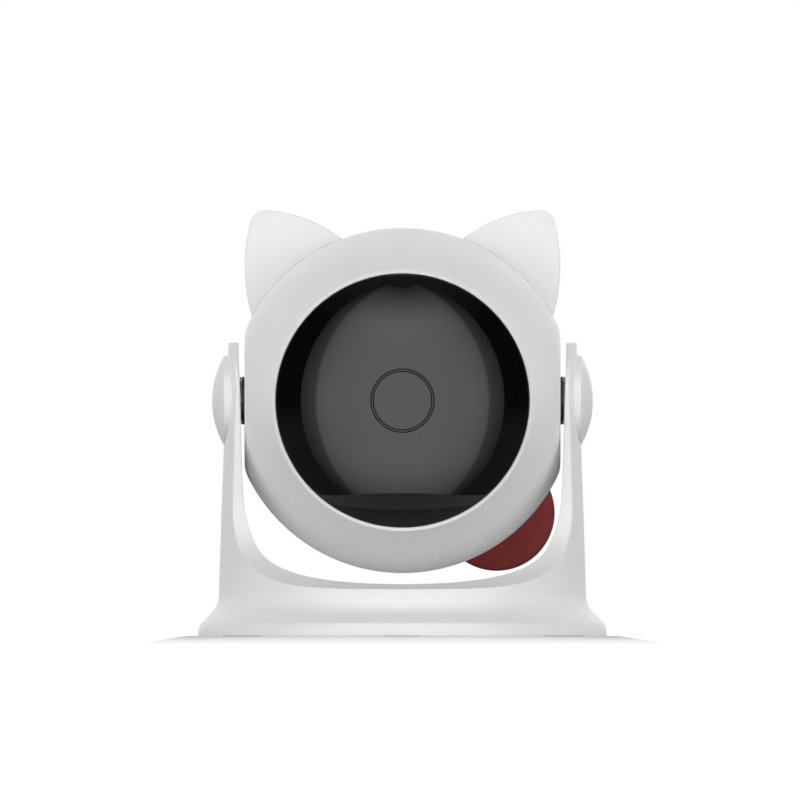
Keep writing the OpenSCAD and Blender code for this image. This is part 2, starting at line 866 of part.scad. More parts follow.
module mirror_face(thick) {
  translate([0, mirror_pos[1] + mirror_lift, 0]) rotate([90 - mirror_tilt, 0, 0])
    cylinder(h = thick, r = mirror_r + mirror_rim + over);
}

module mirror_disc() color("lightsteelblue") {
  at_head() translate(mirror_pos + [0, mirror_lift, 0])
    rotate([90 - mirror_tilt, 0, 0]) cylinder(h = mirror_t, r = mirror_r);
}

module drive_pinion() color("goldenrod") {
  at_head() translate([pinion_x, gear_front_y - pinion_over, mirror_pos[2]])
    gear_wheel(pinion_teeth, gear_t + 2 * pinion_over, motor_shaft_r, 180 + 180 / pinion_teeth);
  at_head() along_y(gear_front_y - pinion_over, seam_y + shaft_in, motor_shaft_r,
    pinion_x, mirror_pos[2]);
}

module gear_motor() color("silver") {
  at_head() difference() {
    union() {
      box(motor_low, [motor_high[0], seam_y + gearbox_len, motor_high[2]]);
      intersection() {
        along_y(seam_y + gearbox_len - eps, motor_high[1], motor_w / 2, pinion_x, mirror_pos[2]);
        box(motor_low, motor_high);
      }
    }
    along_y(seam_y - over, seam_y + shaft_in + hole_gap, motor_shaft_r + run_gap,
      pinion_x, mirror_pos[2]);
  }
}

module motor_strap() color("dimgray") {
  grow = [strap_t, 0, strap_t];
  gap = [strap_gap, over, strap_gap];
  at_head() difference() {
    union() {
      box(motor_low - grow, [motor_high[0] + strap_t, seam_y + strap_d, motor_high[2] + strap_t]);
      box([pinion_x - strap_tab_w / 2, seam_y, motor_low[2] - strap_tab_h],
        [pinion_x + strap_tab_w / 2, seam_y + strap_t, motor_high[2] + strap_tab_h]);
    }
    box(motor_low - gap, motor_high + gap);
    strap_screw_places() along_y(seam_y - over, seam_y + strap_t + over, screw_r + seat_gap);
  }
}

module strap_screw_places() {
  for (s = [-1, 1]) translate([pinion_x, 0, mirror_pos[2] + s * (motor_h / 2 + strap_screw_out)])
    children();
}

module strap_screws() color("silver") {
  at_head() strap_screw_places() {
    along_y(seam_y + strap_t, seam_y + strap_t + small_head_h, small_head_r);
    along_y(chassis_y - over, seam_y + strap_t + eps, screw_r);
  }
}

// Power and electronics

module battery() color("steelblue") {
  at_head() at_cell() {
    along_x(-cell_len / 2, cell_len / 2 - cell_cap_t, cell_r);
    along_x(cell_len / 2 - cell_cap_t - eps, cell_len / 2, cell_r / 3);
  }
}

module battery_strap() color("dimgray") {
  at_head() at_cell() for (s = [-1, 1]) translate([s * rail_x - rail_w / 2, 0, 0]) difference() {
    union() {
      along_x(0, rail_w, cell_r + cell_strap_t);
      box([0, 0, -cell_r - rail_over], [rail_w, rail_over, cell_r + rail_over]);
    }
    along_x(-over, rail_w + over, cell_r + seat_gap);
    box([-over, -big / 4, -big / 4], [rail_w + over, eps, big / 4]);
  }
}

module main_board() color("darkgreen") {
  at_head() {
    box([board_x0, mainboard_y0, mainboard_z], [board_x1, mainboard_y1, mainboard_top]);
    box([chip_at[0], chip_at[1], mainboard_top - eps],
      [chip_at[0] + chip_w, chip_at[1] + chip_w, mainboard_top + chip_t]);
    for (x = pins_x) translate([x, chip_at[1] + over, mainboard_top - eps])
      cube(pin_size + [0, 0, eps]);
  }
}

module usb_socket() color("silver") {
  at_head() difference() {
    usb_hole(0, usb_y0, usb_y1);
    usb_hole(-usb_wall, usb_y0 + 2, usb_y1 + over);
  }
}

// Tag: a round leather disc on a rivet, with a metal eyelet

module tag() color("brown") {
  at_head() difference() {
    along_y(tag_y, tag_back_y, tag_r, tag_x, tag_z);
    along_y(tag_y - over, tag_back_y + over, eyelet_r, tag_x, rivet_z);
  }
}

module tag_eyelet() color("gray") {
  at_head() difference() {
    union() {
      along_y(tag_y, tag_back_y, eyelet_r - snug_gap, tag_x, rivet_z);
      along_y(tag_back_y, tag_back_y + eyelet_flange_t, eyelet_flange_r, tag_x, rivet_z);
    }
    along_y(tag_y - over, tag_back_y + over, rivet_r + run_gap, tag_x, rivet_z);
  }
}

module tag_rivet() color("gray") {
  at_head() {
    along_y(rivet_foot_y, rivet_head_y, rivet_r, tag_x, rivet_z);
    along_y(rivet_head_y - eps, rivet_head_y + rivet_head_t, rivet_head_r, tag_x, rivet_z);
    along_y(rivet_foot_y, rivet_foot_y + rivet_foot_t, rivet_head_r, tag_x, rivet_z);
  }
}

stand_frame();
base_plate();
rubber_feet();
base_screws();
side_knob_left();
side_knob_right();
friction_washers();
front_shell();
rear_shell();
rear_cover();
lens();
lens_retainer();
button_ring();
power_button();
switch_plunger();
power_switch();
button_board();
board_screws();
ear_left();
ear_right();
trunnion_left();
trunnion_right();
chassis();
shell_screws();
cover_screws();
laser_module();
laser_clamp();
gear_axle();
mirror_gear();
mirror_disc();
drive_pinion();
gear_motor();
motor_strap();
strap_screws();
battery();
battery_strap();
main_board();
usb_socket();
tag();
tag_eyelet();
tag_rivet();
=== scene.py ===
"""Looks of an automatic cat laser toy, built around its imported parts.

Every size is in metres in the frame of the parts: origin on the floor under the middle of
the stand, +Z up, the face of the toy towards -Y.
"""
import json
import math

import bmesh
import bpy
import numpy as np
from bpy.props import FloatProperty, FloatVectorProperty, PointerProperty
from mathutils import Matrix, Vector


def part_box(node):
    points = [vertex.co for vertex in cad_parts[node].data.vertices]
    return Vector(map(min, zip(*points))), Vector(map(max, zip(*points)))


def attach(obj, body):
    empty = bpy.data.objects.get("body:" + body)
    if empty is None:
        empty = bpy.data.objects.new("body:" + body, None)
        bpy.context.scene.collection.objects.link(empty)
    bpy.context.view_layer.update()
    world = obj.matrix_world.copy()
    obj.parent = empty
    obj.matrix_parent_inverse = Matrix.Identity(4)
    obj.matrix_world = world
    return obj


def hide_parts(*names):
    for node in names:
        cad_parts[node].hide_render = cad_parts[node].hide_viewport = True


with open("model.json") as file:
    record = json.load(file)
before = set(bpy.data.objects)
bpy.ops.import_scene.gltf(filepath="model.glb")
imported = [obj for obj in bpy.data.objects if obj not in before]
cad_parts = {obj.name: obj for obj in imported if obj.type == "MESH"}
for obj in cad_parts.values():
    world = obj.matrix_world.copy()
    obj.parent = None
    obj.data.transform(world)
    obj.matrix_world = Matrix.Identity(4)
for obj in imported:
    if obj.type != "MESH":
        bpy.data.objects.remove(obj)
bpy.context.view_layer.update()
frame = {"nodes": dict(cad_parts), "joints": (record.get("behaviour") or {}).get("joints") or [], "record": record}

bl_info = {
    "name": "Cat laser toy looks",
    "version": (1, 0, 0),
    "blender": (4, 5, 0),
    "location": "View3D > Sidebar > Laser toy",
    "description": "Shells, ears, lens, stand and tag of a cat laser toy, with their finishes",
    "category": "Object",
}

MM = 0.001

# Rounding of edges that hardly show, and how far a cutter runs past what it cuts
FINE = 0.1 * MM
PAST = 1.0 * MM

# The photograph's frame: how a pixel maps to the object
PHOTO_PX = 800
PX_SIZE = 0.3101 * MM
OBJECT_MIDDLE_PX = 402.5
OBJECT_FLOOR_PX = 636.0


def low(node):
    """Lowest corner of a CAD node, in metres."""
    return np.array(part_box(node)[0])


def high(node):
    """Highest corner of a CAD node, in metres."""
    return np.array(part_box(node)[1])


def middle(node):
    """Centre of a CAD node's box, in metres."""
    return (low(node) + high(node)) / 2


def radius(node):
    """Radius of a round CAD node whose axis isn't X, in metres."""
    return (high(node) - low(node))[0] / 2


PIVOT_Z = next(j for j in frame["joints"] if j["name"] == "head_tilt")["pos_m"][2]
HEAD_C = np.array([0.0, 0.0, PIVOT_Z])
HEAD_R = high("front_shell")[2] - PIVOT_Z
FLAT_X = high("front_shell")[0]
LIP_Y = low("front_shell")[1]
SEAM_Y = high("front_shell")[1]
BACK_Y = high("rear_shell")[1]


# Outlines and grids


def soften(corners, cut, steps=4):
    """Open outline with its corners rounded: each inner corner becomes a parabola that leaves
    both sides at the distance cut from the corner, or at half of a shorter side."""
    p = np.asarray(corners, float)
    cut = np.broadcast_to(np.asarray(cut, float), len(p))[1:-1]
    back, ahead = p[:-2] - p[1:-1], p[2:] - p[1:-1]
    back_len, ahead_len = np.linalg.norm(back, axis=1), np.linalg.norm(ahead, axis=1)
    d = np.minimum(cut, np.minimum(back_len, ahead_len) / 2)
    start = (p[1:-1] + back * (d / back_len)[:, None])[:, None]
    end = (p[1:-1] + ahead * (d / ahead_len)[:, None])[:, None]
    t = np.linspace(0, 1, steps + 1)[None, :, None]
    curve = (1 - t) ** 2 * start + 2 * t * (1 - t) * p[1:-1][:, None] + t**2 * end
    out = np.vstack([p[:1], curve.reshape(-1, 2), p[-1:]])
    moved = np.linalg.norm(np.diff(out, axis=0), axis=1) > 1e-8
    return out[np.r_[True, moved]]


def arc(centre, radius, start_deg, end_deg, steps):
    """Points of a circle's arc: centre + radius * (cos a, sin a)."""
    a = np.radians(np.linspace(start_deg, end_deg, steps + 1))
    return np.column_stack([centre[0] + radius * np.cos(a), centre[1] + radius * np.sin(a)])


def dome_arc(edge_r, height, top, steps):
    """Outline of a dome, (place along the axis, radius), from its edge to its top."""
    dome_r = (edge_r**2 + height**2) / (2 * height)
    edge_deg = math.degrees(math.asin(edge_r / dome_r))
    dome = arc((top - dome_r, 0), dome_r, edge_deg, 0, steps)
    dome[-1, 1] = 0
    return dome


def lathe(outline, axis, centre=(0, 0, 0), steps=192, start_deg=0, turn_deg=360):
    """Grid of an outline of (place along the axis, radius) turned about the X, Y or Z axis
    through centre."""
    along, r = np.asarray(outline, float).T
    a = np.radians(start_deg + np.linspace(0, turn_deg, steps + 1))
    if turn_deg == 360:
        a = a[:-1]
    around = (np.outer(np.cos(a), r), np.outer(np.sin(a), r))
    along = np.broadcast_to(along, around[0].shape)
    order = {"X": (along, *around), "Y": (around[0], along, around[1]), "Z": (*around, along)}
    return np.stack(order[axis], axis=-1) + np.asarray(centre, float)


def grid_faces(rows, columns, wrap):
    """Corner numbers of a grid's quads, with the last row joined to the first if wrap."""
    i = np.arange(rows if wrap else rows - 1)[:, None]
    j = np.arange(columns - 1)[None, :]
    after = (i + 1) % rows
    corners = [i * columns + j, i * columns + j + 1, after * columns + j + 1, after * columns + j]
    return np.stack([np.broadcast_to(c, (i.size, j.size)) for c in corners], -1).reshape(-1, 4)


def solid(name, grids, sharp_deg=50):
    """Smooth object of closed grids. Each grid is its points, an array of rows and columns of
    x, y, z, and whether its rows join up. Doubles are merged and faces turned outwards."""
    points, faces, count = [], [], 0
    for grid, wrap in grids:
        rows, columns = grid.shape[:2]
        points.append(grid.reshape(-1, 3))
        faces.append(grid_faces(rows, columns, wrap) + count)
        count += rows * columns
    points, faces = np.vstack(points), np.vstack(faces)
    mesh = bpy.data.meshes.new(name)
    mesh.vertices.add(len(points))
    mesh.vertices.foreach_set("co", points.ravel())
    mesh.loops.add(faces.size)
    mesh.loops.foreach_set("vertex_index", faces.ravel())
    mesh.polygons.add(len(faces))
    mesh.polygons.foreach_set("loop_start", np.arange(0, faces.size, 4))
    mesh.update(calc_edges=True)
    bm = bmesh.new()
    bm.from_mesh(mesh)
    bmesh.ops.remove_doubles(bm, verts=bm.verts, dist=1e-7)
    bmesh.ops.dissolve_degenerate(bm, edges=bm.edges, dist=1e-8)
    bmesh.ops.recalc_face_normals(bm, faces=bm.faces)
    bm.to_mesh(mesh)
    bm.free()
    obj = bpy.data.objects.new(name, mesh)
    bpy.context.scene.collection.objects.link(obj)
    return even(obj, sharp_deg)


def even(obj, sharp_deg):
    """Smooth shading with edges over sharp_deg kept crisp, and flat faces that stay flat."""
    obj.data.polygons.foreach_set("use_smooth", np.ones(len(obj.data.polygons), bool))
    obj.data.set_sharp_from_angle(angle=math.radians(sharp_deg))
    if not obj.modifiers:
        weighted = obj.modifiers.new("even_normals", "WEIGHTED_NORMAL")
        weighted.keep_sharp = True
    return obj


def carve(obj, cutters, sharp_deg=40):
    """Takes closed meshes out of a piece and keeps the result as its mesh."""
    obj.modifiers.clear()
    for cutter in cutters:
        cut = obj.modifiers.new("cut", "BOOLEAN")
        cut.operation = "DIFFERENCE"
        cut.solver = "EXACT"
        cut.object = cutter
    evaluated = obj.evaluated_get(bpy.context.evaluated_depsgraph_get())
    mesh = bpy.data.meshes.new_from_object(evaluated)
    obj.modifiers.clear()
    obj.data = mesh
    for cutter in cutters:
        bpy.data.objects.remove(cutter)
    return even(obj, sharp_deg)


def settle(obj, body, slot, *nodes):
    """Gives a piece its finish, the body it rides on and the CAD nodes it stands for."""
    obj.data.materials.clear()
    obj.data.materials.append(finish(slot))
    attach(obj, body)
    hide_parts(*nodes)
    return obj


# Shader effects


def link_in(tree, node, inputs):
    """Fills a node's inputs, from another node's output or with a plain value."""
    for name, value in inputs.items():
        if isinstance(value, bpy.types.NodeSocket):
            tree.links.new(value, node.inputs[name])
        else:
            node.inputs[name].default_value = value
    return node


def add(tree, kind, inputs=None, **settings):
    """New node of a kind, with its settings and inputs."""
    node = tree.nodes.new(kind)
    for name, value in settings.items():
        setattr(node, name, value)
    return link_in(tree, node, inputs or {})


def maths(tree, operation, *values, clamp=False):
    """Output of a Math node."""
    node = add(tree, "ShaderNodeMath", dict(enumerate(values)), operation=operation)
    node.use_clamp = clamp
    return node.outputs[0]


def ramp(tree, value, ends, levels, smooth=False):
    """Output that goes from the first level to the second as a value runs between two ends,
    and keeps its last level past them."""
    kind = "SMOOTHSTEP" if smooth else "LINEAR"
    node = add(tree, "ShaderNodeMapRange", {
        "Value": value, "From Min": ends[0], "From Max": ends[1],
        "To Min": levels[0], "To Max": levels[1]}, interpolation_type=kind)
    return node.outputs[0]


def vector(tree, operation, first, second=None, scale=None):
    """Output of a Vector Math node with one or two vectors, or a vector and a scale."""
    inputs = {0: first}
    if second is not None:
        inputs[1] = second
    if scale is not None:
        inputs["Scale"] = scale
    node = add(tree, "ShaderNodeVectorMath", inputs, operation=operation)
    return node.outputs["Value" if operation in ("DISTANCE", "DOT_PRODUCT") else "Vector"]


def xyz_of(tree, way):
    """The three outputs of a Separate XYZ node."""
    return add(tree, "ShaderNodeSeparateXYZ", {0: way}).outputs


def group(name, inputs, outputs):
    """Empty shader node group with named sockets: (name, socket kind, default)."""
    tree = bpy.data.node_groups.new(name, "ShaderNodeTree")
    for label, kind, default in inputs:
        socket = tree.interface.new_socket(label, in_out="INPUT", socket_type=kind)
        if default is not None:
            socket.default_value = default
    for label, kind in outputs:
        tree.interface.new_socket(label, in_out="OUTPUT", socket_type=kind)
    return tree, add(tree, "NodeGroupInput").outputs, add(tree, "NodeGroupOutput")


FLOAT, COLOUR, VECTOR = "NodeSocketFloat", "NodeSocketColor", "NodeSocketVector"


def moulded_group():
    """Moulded plastic: slow drift of tone, a faint haze in the gloss and the fine spark
    texture of the mould, all from Object coordinates."""
    tree, given, out = group(
        "Moulded surface",
        [("Vector", VECTOR, None), ("Colour", COLOUR, (0.8, 0.8, 0.8, 1)),
         ("Drift", FLOAT, 0.02), ("Roughness", FLOAT, 0.4), ("Haze", FLOAT, 0.05),
         ("Grain Scale", FLOAT, 2500.0)],
        [("Colour", COLOUR), ("Roughness", FLOAT), ("Height", FLOAT)])
    slow = add(tree, "ShaderNodeTexNoise",
               {"Vector": given["Vector"], "Scale": 28.0, "Detail": 2.0})
    shade = maths(tree, "MULTIPLY_ADD", slow.outputs[0], given["Drift"], 1.0)
    half = maths(tree, "MULTIPLY", given["Drift"], 0.5)
    tone = maths(tree, "SUBTRACT", shade, half)
    tinted = vector(tree, "SCALE", given["Colour"], scale=tone)
    haze = add(tree, "ShaderNodeTexNoise",
               {"Vector": given["Vector"], "Scale": 90.0, "Detail": 3.0})
    spread = maths(tree, "SUBTRACT", haze.outputs[0], 0.5)
    rough = maths(tree, "MULTIPLY_ADD", spread, given["Haze"], given["Roughness"])
    grain = add(tree, "ShaderNodeTexNoise",
                {"Vector": given["Vector"], "Scale": given["Grain Scale"], "Detail": 1.0})
    link_in(tree, out, {"Colour": tinted, "Roughness": rough, "Height": grain.outputs[0]})
    return tree


def joint_line_and_shade_group():
    """Darkening where a piece meets the ball-shaped head: a mask that is 1 on the ball's surface
    and falls to 0 at the given reach above it. A short reach draws a fine dark joint line; a
    long reach paints the head's shade on the piece."""
    tree, given, out = group(
        "Joint line and painted shade",
        [("Vector", VECTOR, None), ("Centre", VECTOR, tuple(HEAD_C)), ("Radius", FLOAT, HEAD_R),
         ("Reach", FLOAT, 0.3 * MM)],
        [("Mask", FLOAT)])
    away = vector(tree, "DISTANCE", given["Vector"], given["Centre"])
    gap = maths(tree, "SUBTRACT", away, given["Radius"])
    near = maths(tree, "DIVIDE", gap, given["Reach"])
    link_in(tree, out, {"Mask": maths(tree, "SUBTRACT", 1.0, near, clamp=True)})
    return tree


GROUPS = {}


def effect(tree, maker, inputs):
    """A shared effect's node in a material; its group is built the first time."""
    if maker not in GROUPS:
        GROUPS[maker] = maker()
    return add(tree, "ShaderNodeGroup", inputs, node_tree=GROUPS[maker])


def blank(name):
    """New material's tree, its Principled BSDF and its Object coordinates."""
    material = bpy.data.materials.new(name)
    material.use_nodes = True
    tree = material.node_tree
    where = add(tree, "ShaderNodeTexCoord").outputs["Object"]
    return material, tree, tree.nodes["Principled BSDF"], where


def bump(tree, shader, height, depth):
    """Feeds a height map into the shader's normal, depth in metres."""
    node = add(tree, "ShaderNodeBump", {"Height": height, "Distance": depth, "Strength": 1.0})
    tree.links.new(node.outputs[0], shader.inputs["Normal"])


def plastic(name, colour, roughness, grain=2500.0, depth=0.004 * MM, drift=0.02, haze=0.05,
            specular=0.5, joint=()):
    """Moulded plastic. The last argument lists how much, and how far out, the plastic is darker
    where it meets the head's surface: a fine dark joint line, or painted shade of the head on
    the piece."""
    material, tree, shader, where = blank(name)
    made = effect(tree, moulded_group, {
        "Vector": where, "Colour": (*colour, 1), "Drift": drift, "Roughness": roughness,
        "Haze": haze, "Grain Scale": grain})
    tint = made.outputs["Colour"]
    # Each entry darkens the colour near the head: a fine dark joint line, or painted shade of the head
    for share, reach in joint:
        mask = effect(tree, joint_line_and_shade_group, {"Vector": where, "Reach": reach}).outputs["Mask"]
        keep = maths(tree, "MULTIPLY_ADD", mask, -share, 1.0)
        tint = vector(tree, "SCALE", tint, scale=keep)
    link_in(tree, shader, {"Base Color": tint, "Roughness": made.outputs["Roughness"],
                           "Specular IOR Level": specular})
    bump(tree, shader, made.outputs["Height"], depth)
    return material


def polished(name, colour, ior, roughness=0.03):
    """Polished smoked plastic with the faintest haze in its gloss."""
    material, tree, shader, where = blank(name)
    made = effect(tree, moulded_group, {
        "Vector": where, "Colour": (*colour, 1), "Drift": 0.1, "Roughness": roughness,
        "Haze": 0.02, "Grain Scale": 900.0})
    link_in(tree, shader, {"Base Color": made.outputs["Colour"],
                           "Roughness": made.outputs["Roughness"], "IOR": ior})
    bump(tree, shader, made.outputs["Height"], 0.0002 * MM)
    return material


def metal(name, colour, roughness, stretch=(1.0, 1.0, 1.0), depth=0.003 * MM):
    """Bare or plated metal with fine working marks, drawn out by stretch."""
    material, tree, shader, where = blank(name)
    drawn = add(tree, "ShaderNodeMapping", {"Vector": where, "Scale": stretch})
    made = effect(tree, moulded_group, {
        "Vector": drawn.outputs[0], "Colour": (*colour, 1), "Drift": 0.12,
        "Roughness": roughness, "Haze": 0.2, "Grain Scale": 1600.0})
    link_in(tree, shader, {"Base Color": made.outputs["Colour"], "Metallic": 1.0,
                           "Roughness": made.outputs["Roughness"]})
    bump(tree, shader, made.outputs["Height"], depth)
    return material


def leather(name, colour):
    """Fine-grained leather: pebbled cells with creases, darker in the creases and towards the
    rim of the tag."""
    material, tree, shader, where = blank(name)
    cells = add(tree, "ShaderNodeTexVoronoi", {"Vector": where, "Scale": 1500.0},
                feature="DISTANCE_TO_EDGE")
    crease = ramp(tree, cells.outputs["Distance"], (0.0, 0.22), (0.0, 1.0))
    pores = add(tree, "ShaderNodeTexNoise", {"Vector": where, "Scale": 3200.0, "Detail": 2.0})
    patches = add(tree, "ShaderNodeTexNoise", {"Vector": where, "Scale": 120.0, "Detail": 4.0})
    height = maths(tree, "MULTIPLY_ADD", pores.outputs[0], 0.35, crease)
    flat = vector(tree, "MULTIPLY", where, (1, 0, 1))
    away = vector(tree, "DISTANCE", flat, tuple(middle("tag") * (1, 0, 1)))
    darker_rim_span = (radius("tag") - 1.4 * MM, radius("tag"))
    # The tag's colour is darker over the last 1.4 mm towards its rim
    rim = ramp(tree, away, darker_rim_span, (1.0, 0.55), smooth=True)
    tone = maths(tree, "MULTIPLY_ADD", crease, 0.22, 0.72)
    tone = maths(tree, "MULTIPLY_ADD", patches.outputs[0], 0.24, tone)
    tone = maths(tree, "MULTIPLY", tone, rim)
    rough = maths(tree, "MULTIPLY_ADD", crease, -0.12, 0.66)
    link_in(tree, shader, {"Base Color": vector(tree, "SCALE", (*colour,), scale=tone),
                           "Roughness": rough, "Specular IOR Level": 0.22})
    bump(tree, shader, height, 0.05 * MM)
    return material


def circuit_board(name, colour):
    """Green lacquered board with faint copper tracks under the lacquer."""
    material, tree, shader, where = blank(name)
    tracks = add(tree, "ShaderNodeTexBrick", {
        "Vector": where, "Scale": 180.0, "Color1": (*[0.7 * c for c in colour], 1),
        "Color2": (*colour, 1), "Mortar": (*[1.6 * c for c in colour], 1), "Mortar Size": 0.03})
    made = effect(tree, moulded_group, {"Vector": where, "Colour": tracks.outputs["Color"],
                                        "Drift": 0.1, "Roughness": 0.35, "Haze": 0.1})
    link_in(tree, shader, {"Base Color": made.outputs["Colour"],
                           "Roughness": made.outputs["Roughness"]})
    bump(tree, shader, tracks.outputs["Fac"], 0.02 * MM)
    return material


def rubber(name, colour):
    """Matt moulded rubber with a fine, soft texture."""
    return plastic(name, colour, 0.8, grain=1400.0, depth=0.02 * MM, drift=0.15, haze=0.1,
                   specular=0.3)


FINISHES = {}


def finish(slot):
    """The material of one of the record's slots, made the first time it is asked for."""
    if slot in FINISHES:
        return FINISHES[slot]
    c = bpy.context.scene.laser_toy.finishes
    makers = {
        "shell_white": lambda n: plastic(n, c.shell, 0.42, specular=0.65),
        # Ears: a dark joint line within 0.35 mm of the head, and painted shade of the head fading out 14 mm from
        # it
        "ear_white": lambda n: plastic(n, c.ear, 0.45, specular=0.7,
                                       joint=((0.35, 0.35 * MM), (0.2, 14 * MM))),
        "stand_white": lambda n: plastic(n, c.stand, 0.45, grain=2200.0, depth=0.003 * MM,
                                         specular=1.0),
        "lens_smoke": lambda n: polished(n, c.lens, c.lens_ior),
        "button_smoke": lambda n: polished(n, c.lens, c.lens_ior, 0.06),
        "black_plastic": lambda n: plastic(n, c.black, 0.5, grain=1800.0, depth=0.01 * MM,
                                           drift=0.1, specular=0.7),
        "grey_plastic": lambda n: plastic(n, c.grey, 0.5, drift=0.06),
        "board_green": lambda n: circuit_board(n, c.board),
        "screw_steel": lambda n: metal(n, c.steel, 0.32),
        "motor_steel": lambda n: metal(n, c.steel, 0.38, stretch=(1.0, 0.1, 1.0)),
        "brass": lambda n: metal(n, c.brass, 0.3, stretch=(1.0, 6.0, 6.0)),
        "mirror_glass": lambda n: metal(n, (0.92, 0.92, 0.92), 0.03, depth=0.0),
        "cell": lambda n: plastic(n, c.cell, 0.3, drift=0.08),
        "rubber": lambda n: rubber(n, c.rubber),
        "tag_leather": lambda n: leather(n, c.tag),
    }
    FINISHES[slot] = makers[slot](slot + "_finish")
    return FINISHES[slot]


# Settings


def size(label, about, value):
    """A length that a user can change, in metres."""
    return FloatProperty(name=label, description=about, default=value, min=0.0, unit="LENGTH",
                         precision=5)


def tint(label, about, value):
    """A colour that a user can change."""
    return FloatVectorProperty(name=label, description=about, default=value, min=0.0, max=1.0,
                               size=3, subtype="COLOR")


class HeadSizes(bpy.types.PropertyGroup):
    """Sizes of the head's two shells."""

    wall: size("Wall", "Wall thickness of the shells", 2.2 * MM)
    opening_r: size("Opening", "Radius of the round front opening", 39.4 * MM)
    lip_depth: size("Lip depth", "Depth of the opening's wall behind the lip", 2.8 * MM)
    lip_edge: size("Lip edge", "Rounding of the lip's edges", 0.25 * MM)
    seam_edge: size("Seam edge", "Rounding of the shells along the parting line", 0.3 * MM)
    back_edge: size("Back edge", "Rounding where the ball meets its flat back", 1.0 * MM)
    cover_gap: size("Cover gap", "Gap around the rear cover", 0.15 * MM)
    cover_ledge: size("Cover ledge", "Width of the ledge under the rear cover", 7.0 * MM)
    well_ring_r: size("Well circle", "Radius of the circle that the wells lie on", 41.5 * MM)
    well_r: size("Well", "Radius of a screw well", 3.0 * MM)
    well_seat_y: size("Well seat", "Place of a screw well's seat", 10.0 * MM)


class BackSizes(bpy.types.PropertyGroup):
    """Sizes of the rear cover, its screws and the charging inlet."""

    edge: size("Edge", "Rounding of the rear cover", 0.4 * MM)
    screw_inset: size("Screw inset", "Distance of a screw from the cover's edge", 3.6 * MM)
    screw_r: size("Screw head", "Radius of a screw's head", 2.5 * MM)
    screw_h: size("Screw height", "Height of a screw's head", 0.55 * MM)
    screw_sink: size("Screw sink", "Depth of a screw's round seat", 1.1 * MM)
    screw_gap: size("Screw gap", "Gap around a screw's head", 0.2 * MM)
    dish_w: size("Dish", "Width of the shallow dish around the inlet", 1.6 * MM)
    dish_t: size("Dish depth", "Depth of the shallow dish around the inlet", 0.8 * MM)
    inlet_gap: size("Inlet gap", "Gap around the charging socket", 0.3 * MM)
    inlet_wall: size("Inlet wall", "Thickness of the socket's steel shell", 0.33 * MM)
    inlet_edge: size("Inlet edge", "Rounding of the socket's mouth", 0.1 * MM)
    tongue_w: size("Tongue", "Width of the socket's tongue", 6.2 * MM)
    tongue_t: size("Tongue thickness", "Thickness of the socket's tongue", 0.7 * MM)
    tongue_sink: size("Tongue depth", "Depth of the tongue behind the mouth", 1.1 * MM)
    tongue_foot: size("Tongue foot", "Start of the tongue past the socket's back", 1.0 * MM)
    tongue_edge: size("Tongue edge", "Rounding of the tongue's long edges", 0.12 * MM)
    tongue_bevel: size("Tongue bevel", "Length of the bevel at the tongue's tip", 0.2 * MM)


class EarSizes(bpy.types.PropertyGroup):
    """Sizes of an ear. Places are distances from the head's centre, to the ear's side and up."""

    edge: size("Edge", "Rounding of an ear's edges", 0.45 * MM)
    crown: size("Crown", "Height of the soft crown on an ear's faces", 0.35 * MM)
    tip_r: size("Tip", "Radius of an ear's tip", 5.0 * MM)
    outer_x: size("Outer circle across", "Centre of the outer edge, past the middle", 7.16 * MM)
    outer_z: size("Outer circle height", "Centre of the outer edge, up", 41.9 * MM)
    outer_r: size("Outer circle", "Radius of the outer edge", 56.1 * MM)
    top_x: size("Top circle across", "Centre of the top edge, to the ear's side", 44.75 * MM)
    top_z: size("Top circle height", "Centre of the top edge, up", 17.2 * MM)
    top_r: size("Top circle", "Radius of the top edge", 41.9 * MM)
    root_x: size("Root across", "Middle of an ear's root, to the ear's side", 22.0 * MM)
    root_z: size("Root height", "Middle of an ear's root, up", 34.0 * MM)


class FaceSizes(bpy.types.PropertyGroup):
    """Sizes of the smoked lens and its button."""

    lens_t: size("Lens", "Thickness of the lens", 1.8 * MM)
    fit: size("Fit", "Gap around the lens", 0.1 * MM)
    ring_gap: size("Ring gap", "Fine gaps on both sides of the ring", 0.3 * MM)
    ring_w: size("Ring", "Width of the ring round the button", 0.4 * MM)
    ring_r: size("Ring radius", "Outer radius of the ring", 9.65 * MM)
    edge: size("Edge", "Rounding of the lens hole, ring and button", 0.05 * MM)
    flange_t: size("Flange", "Thickness of the button's flange", 1.0 * MM)
    ring_flange_t: size("Ring flange", "Thickness of the ring's flange", 1.5 * MM)
    ring_flange_end: size("Ring flange end", "Straight part behind the slope", 0.1 * MM)
    plunger_r: size("Plunger", "Radius of the button's plunger", 2.0 * MM)


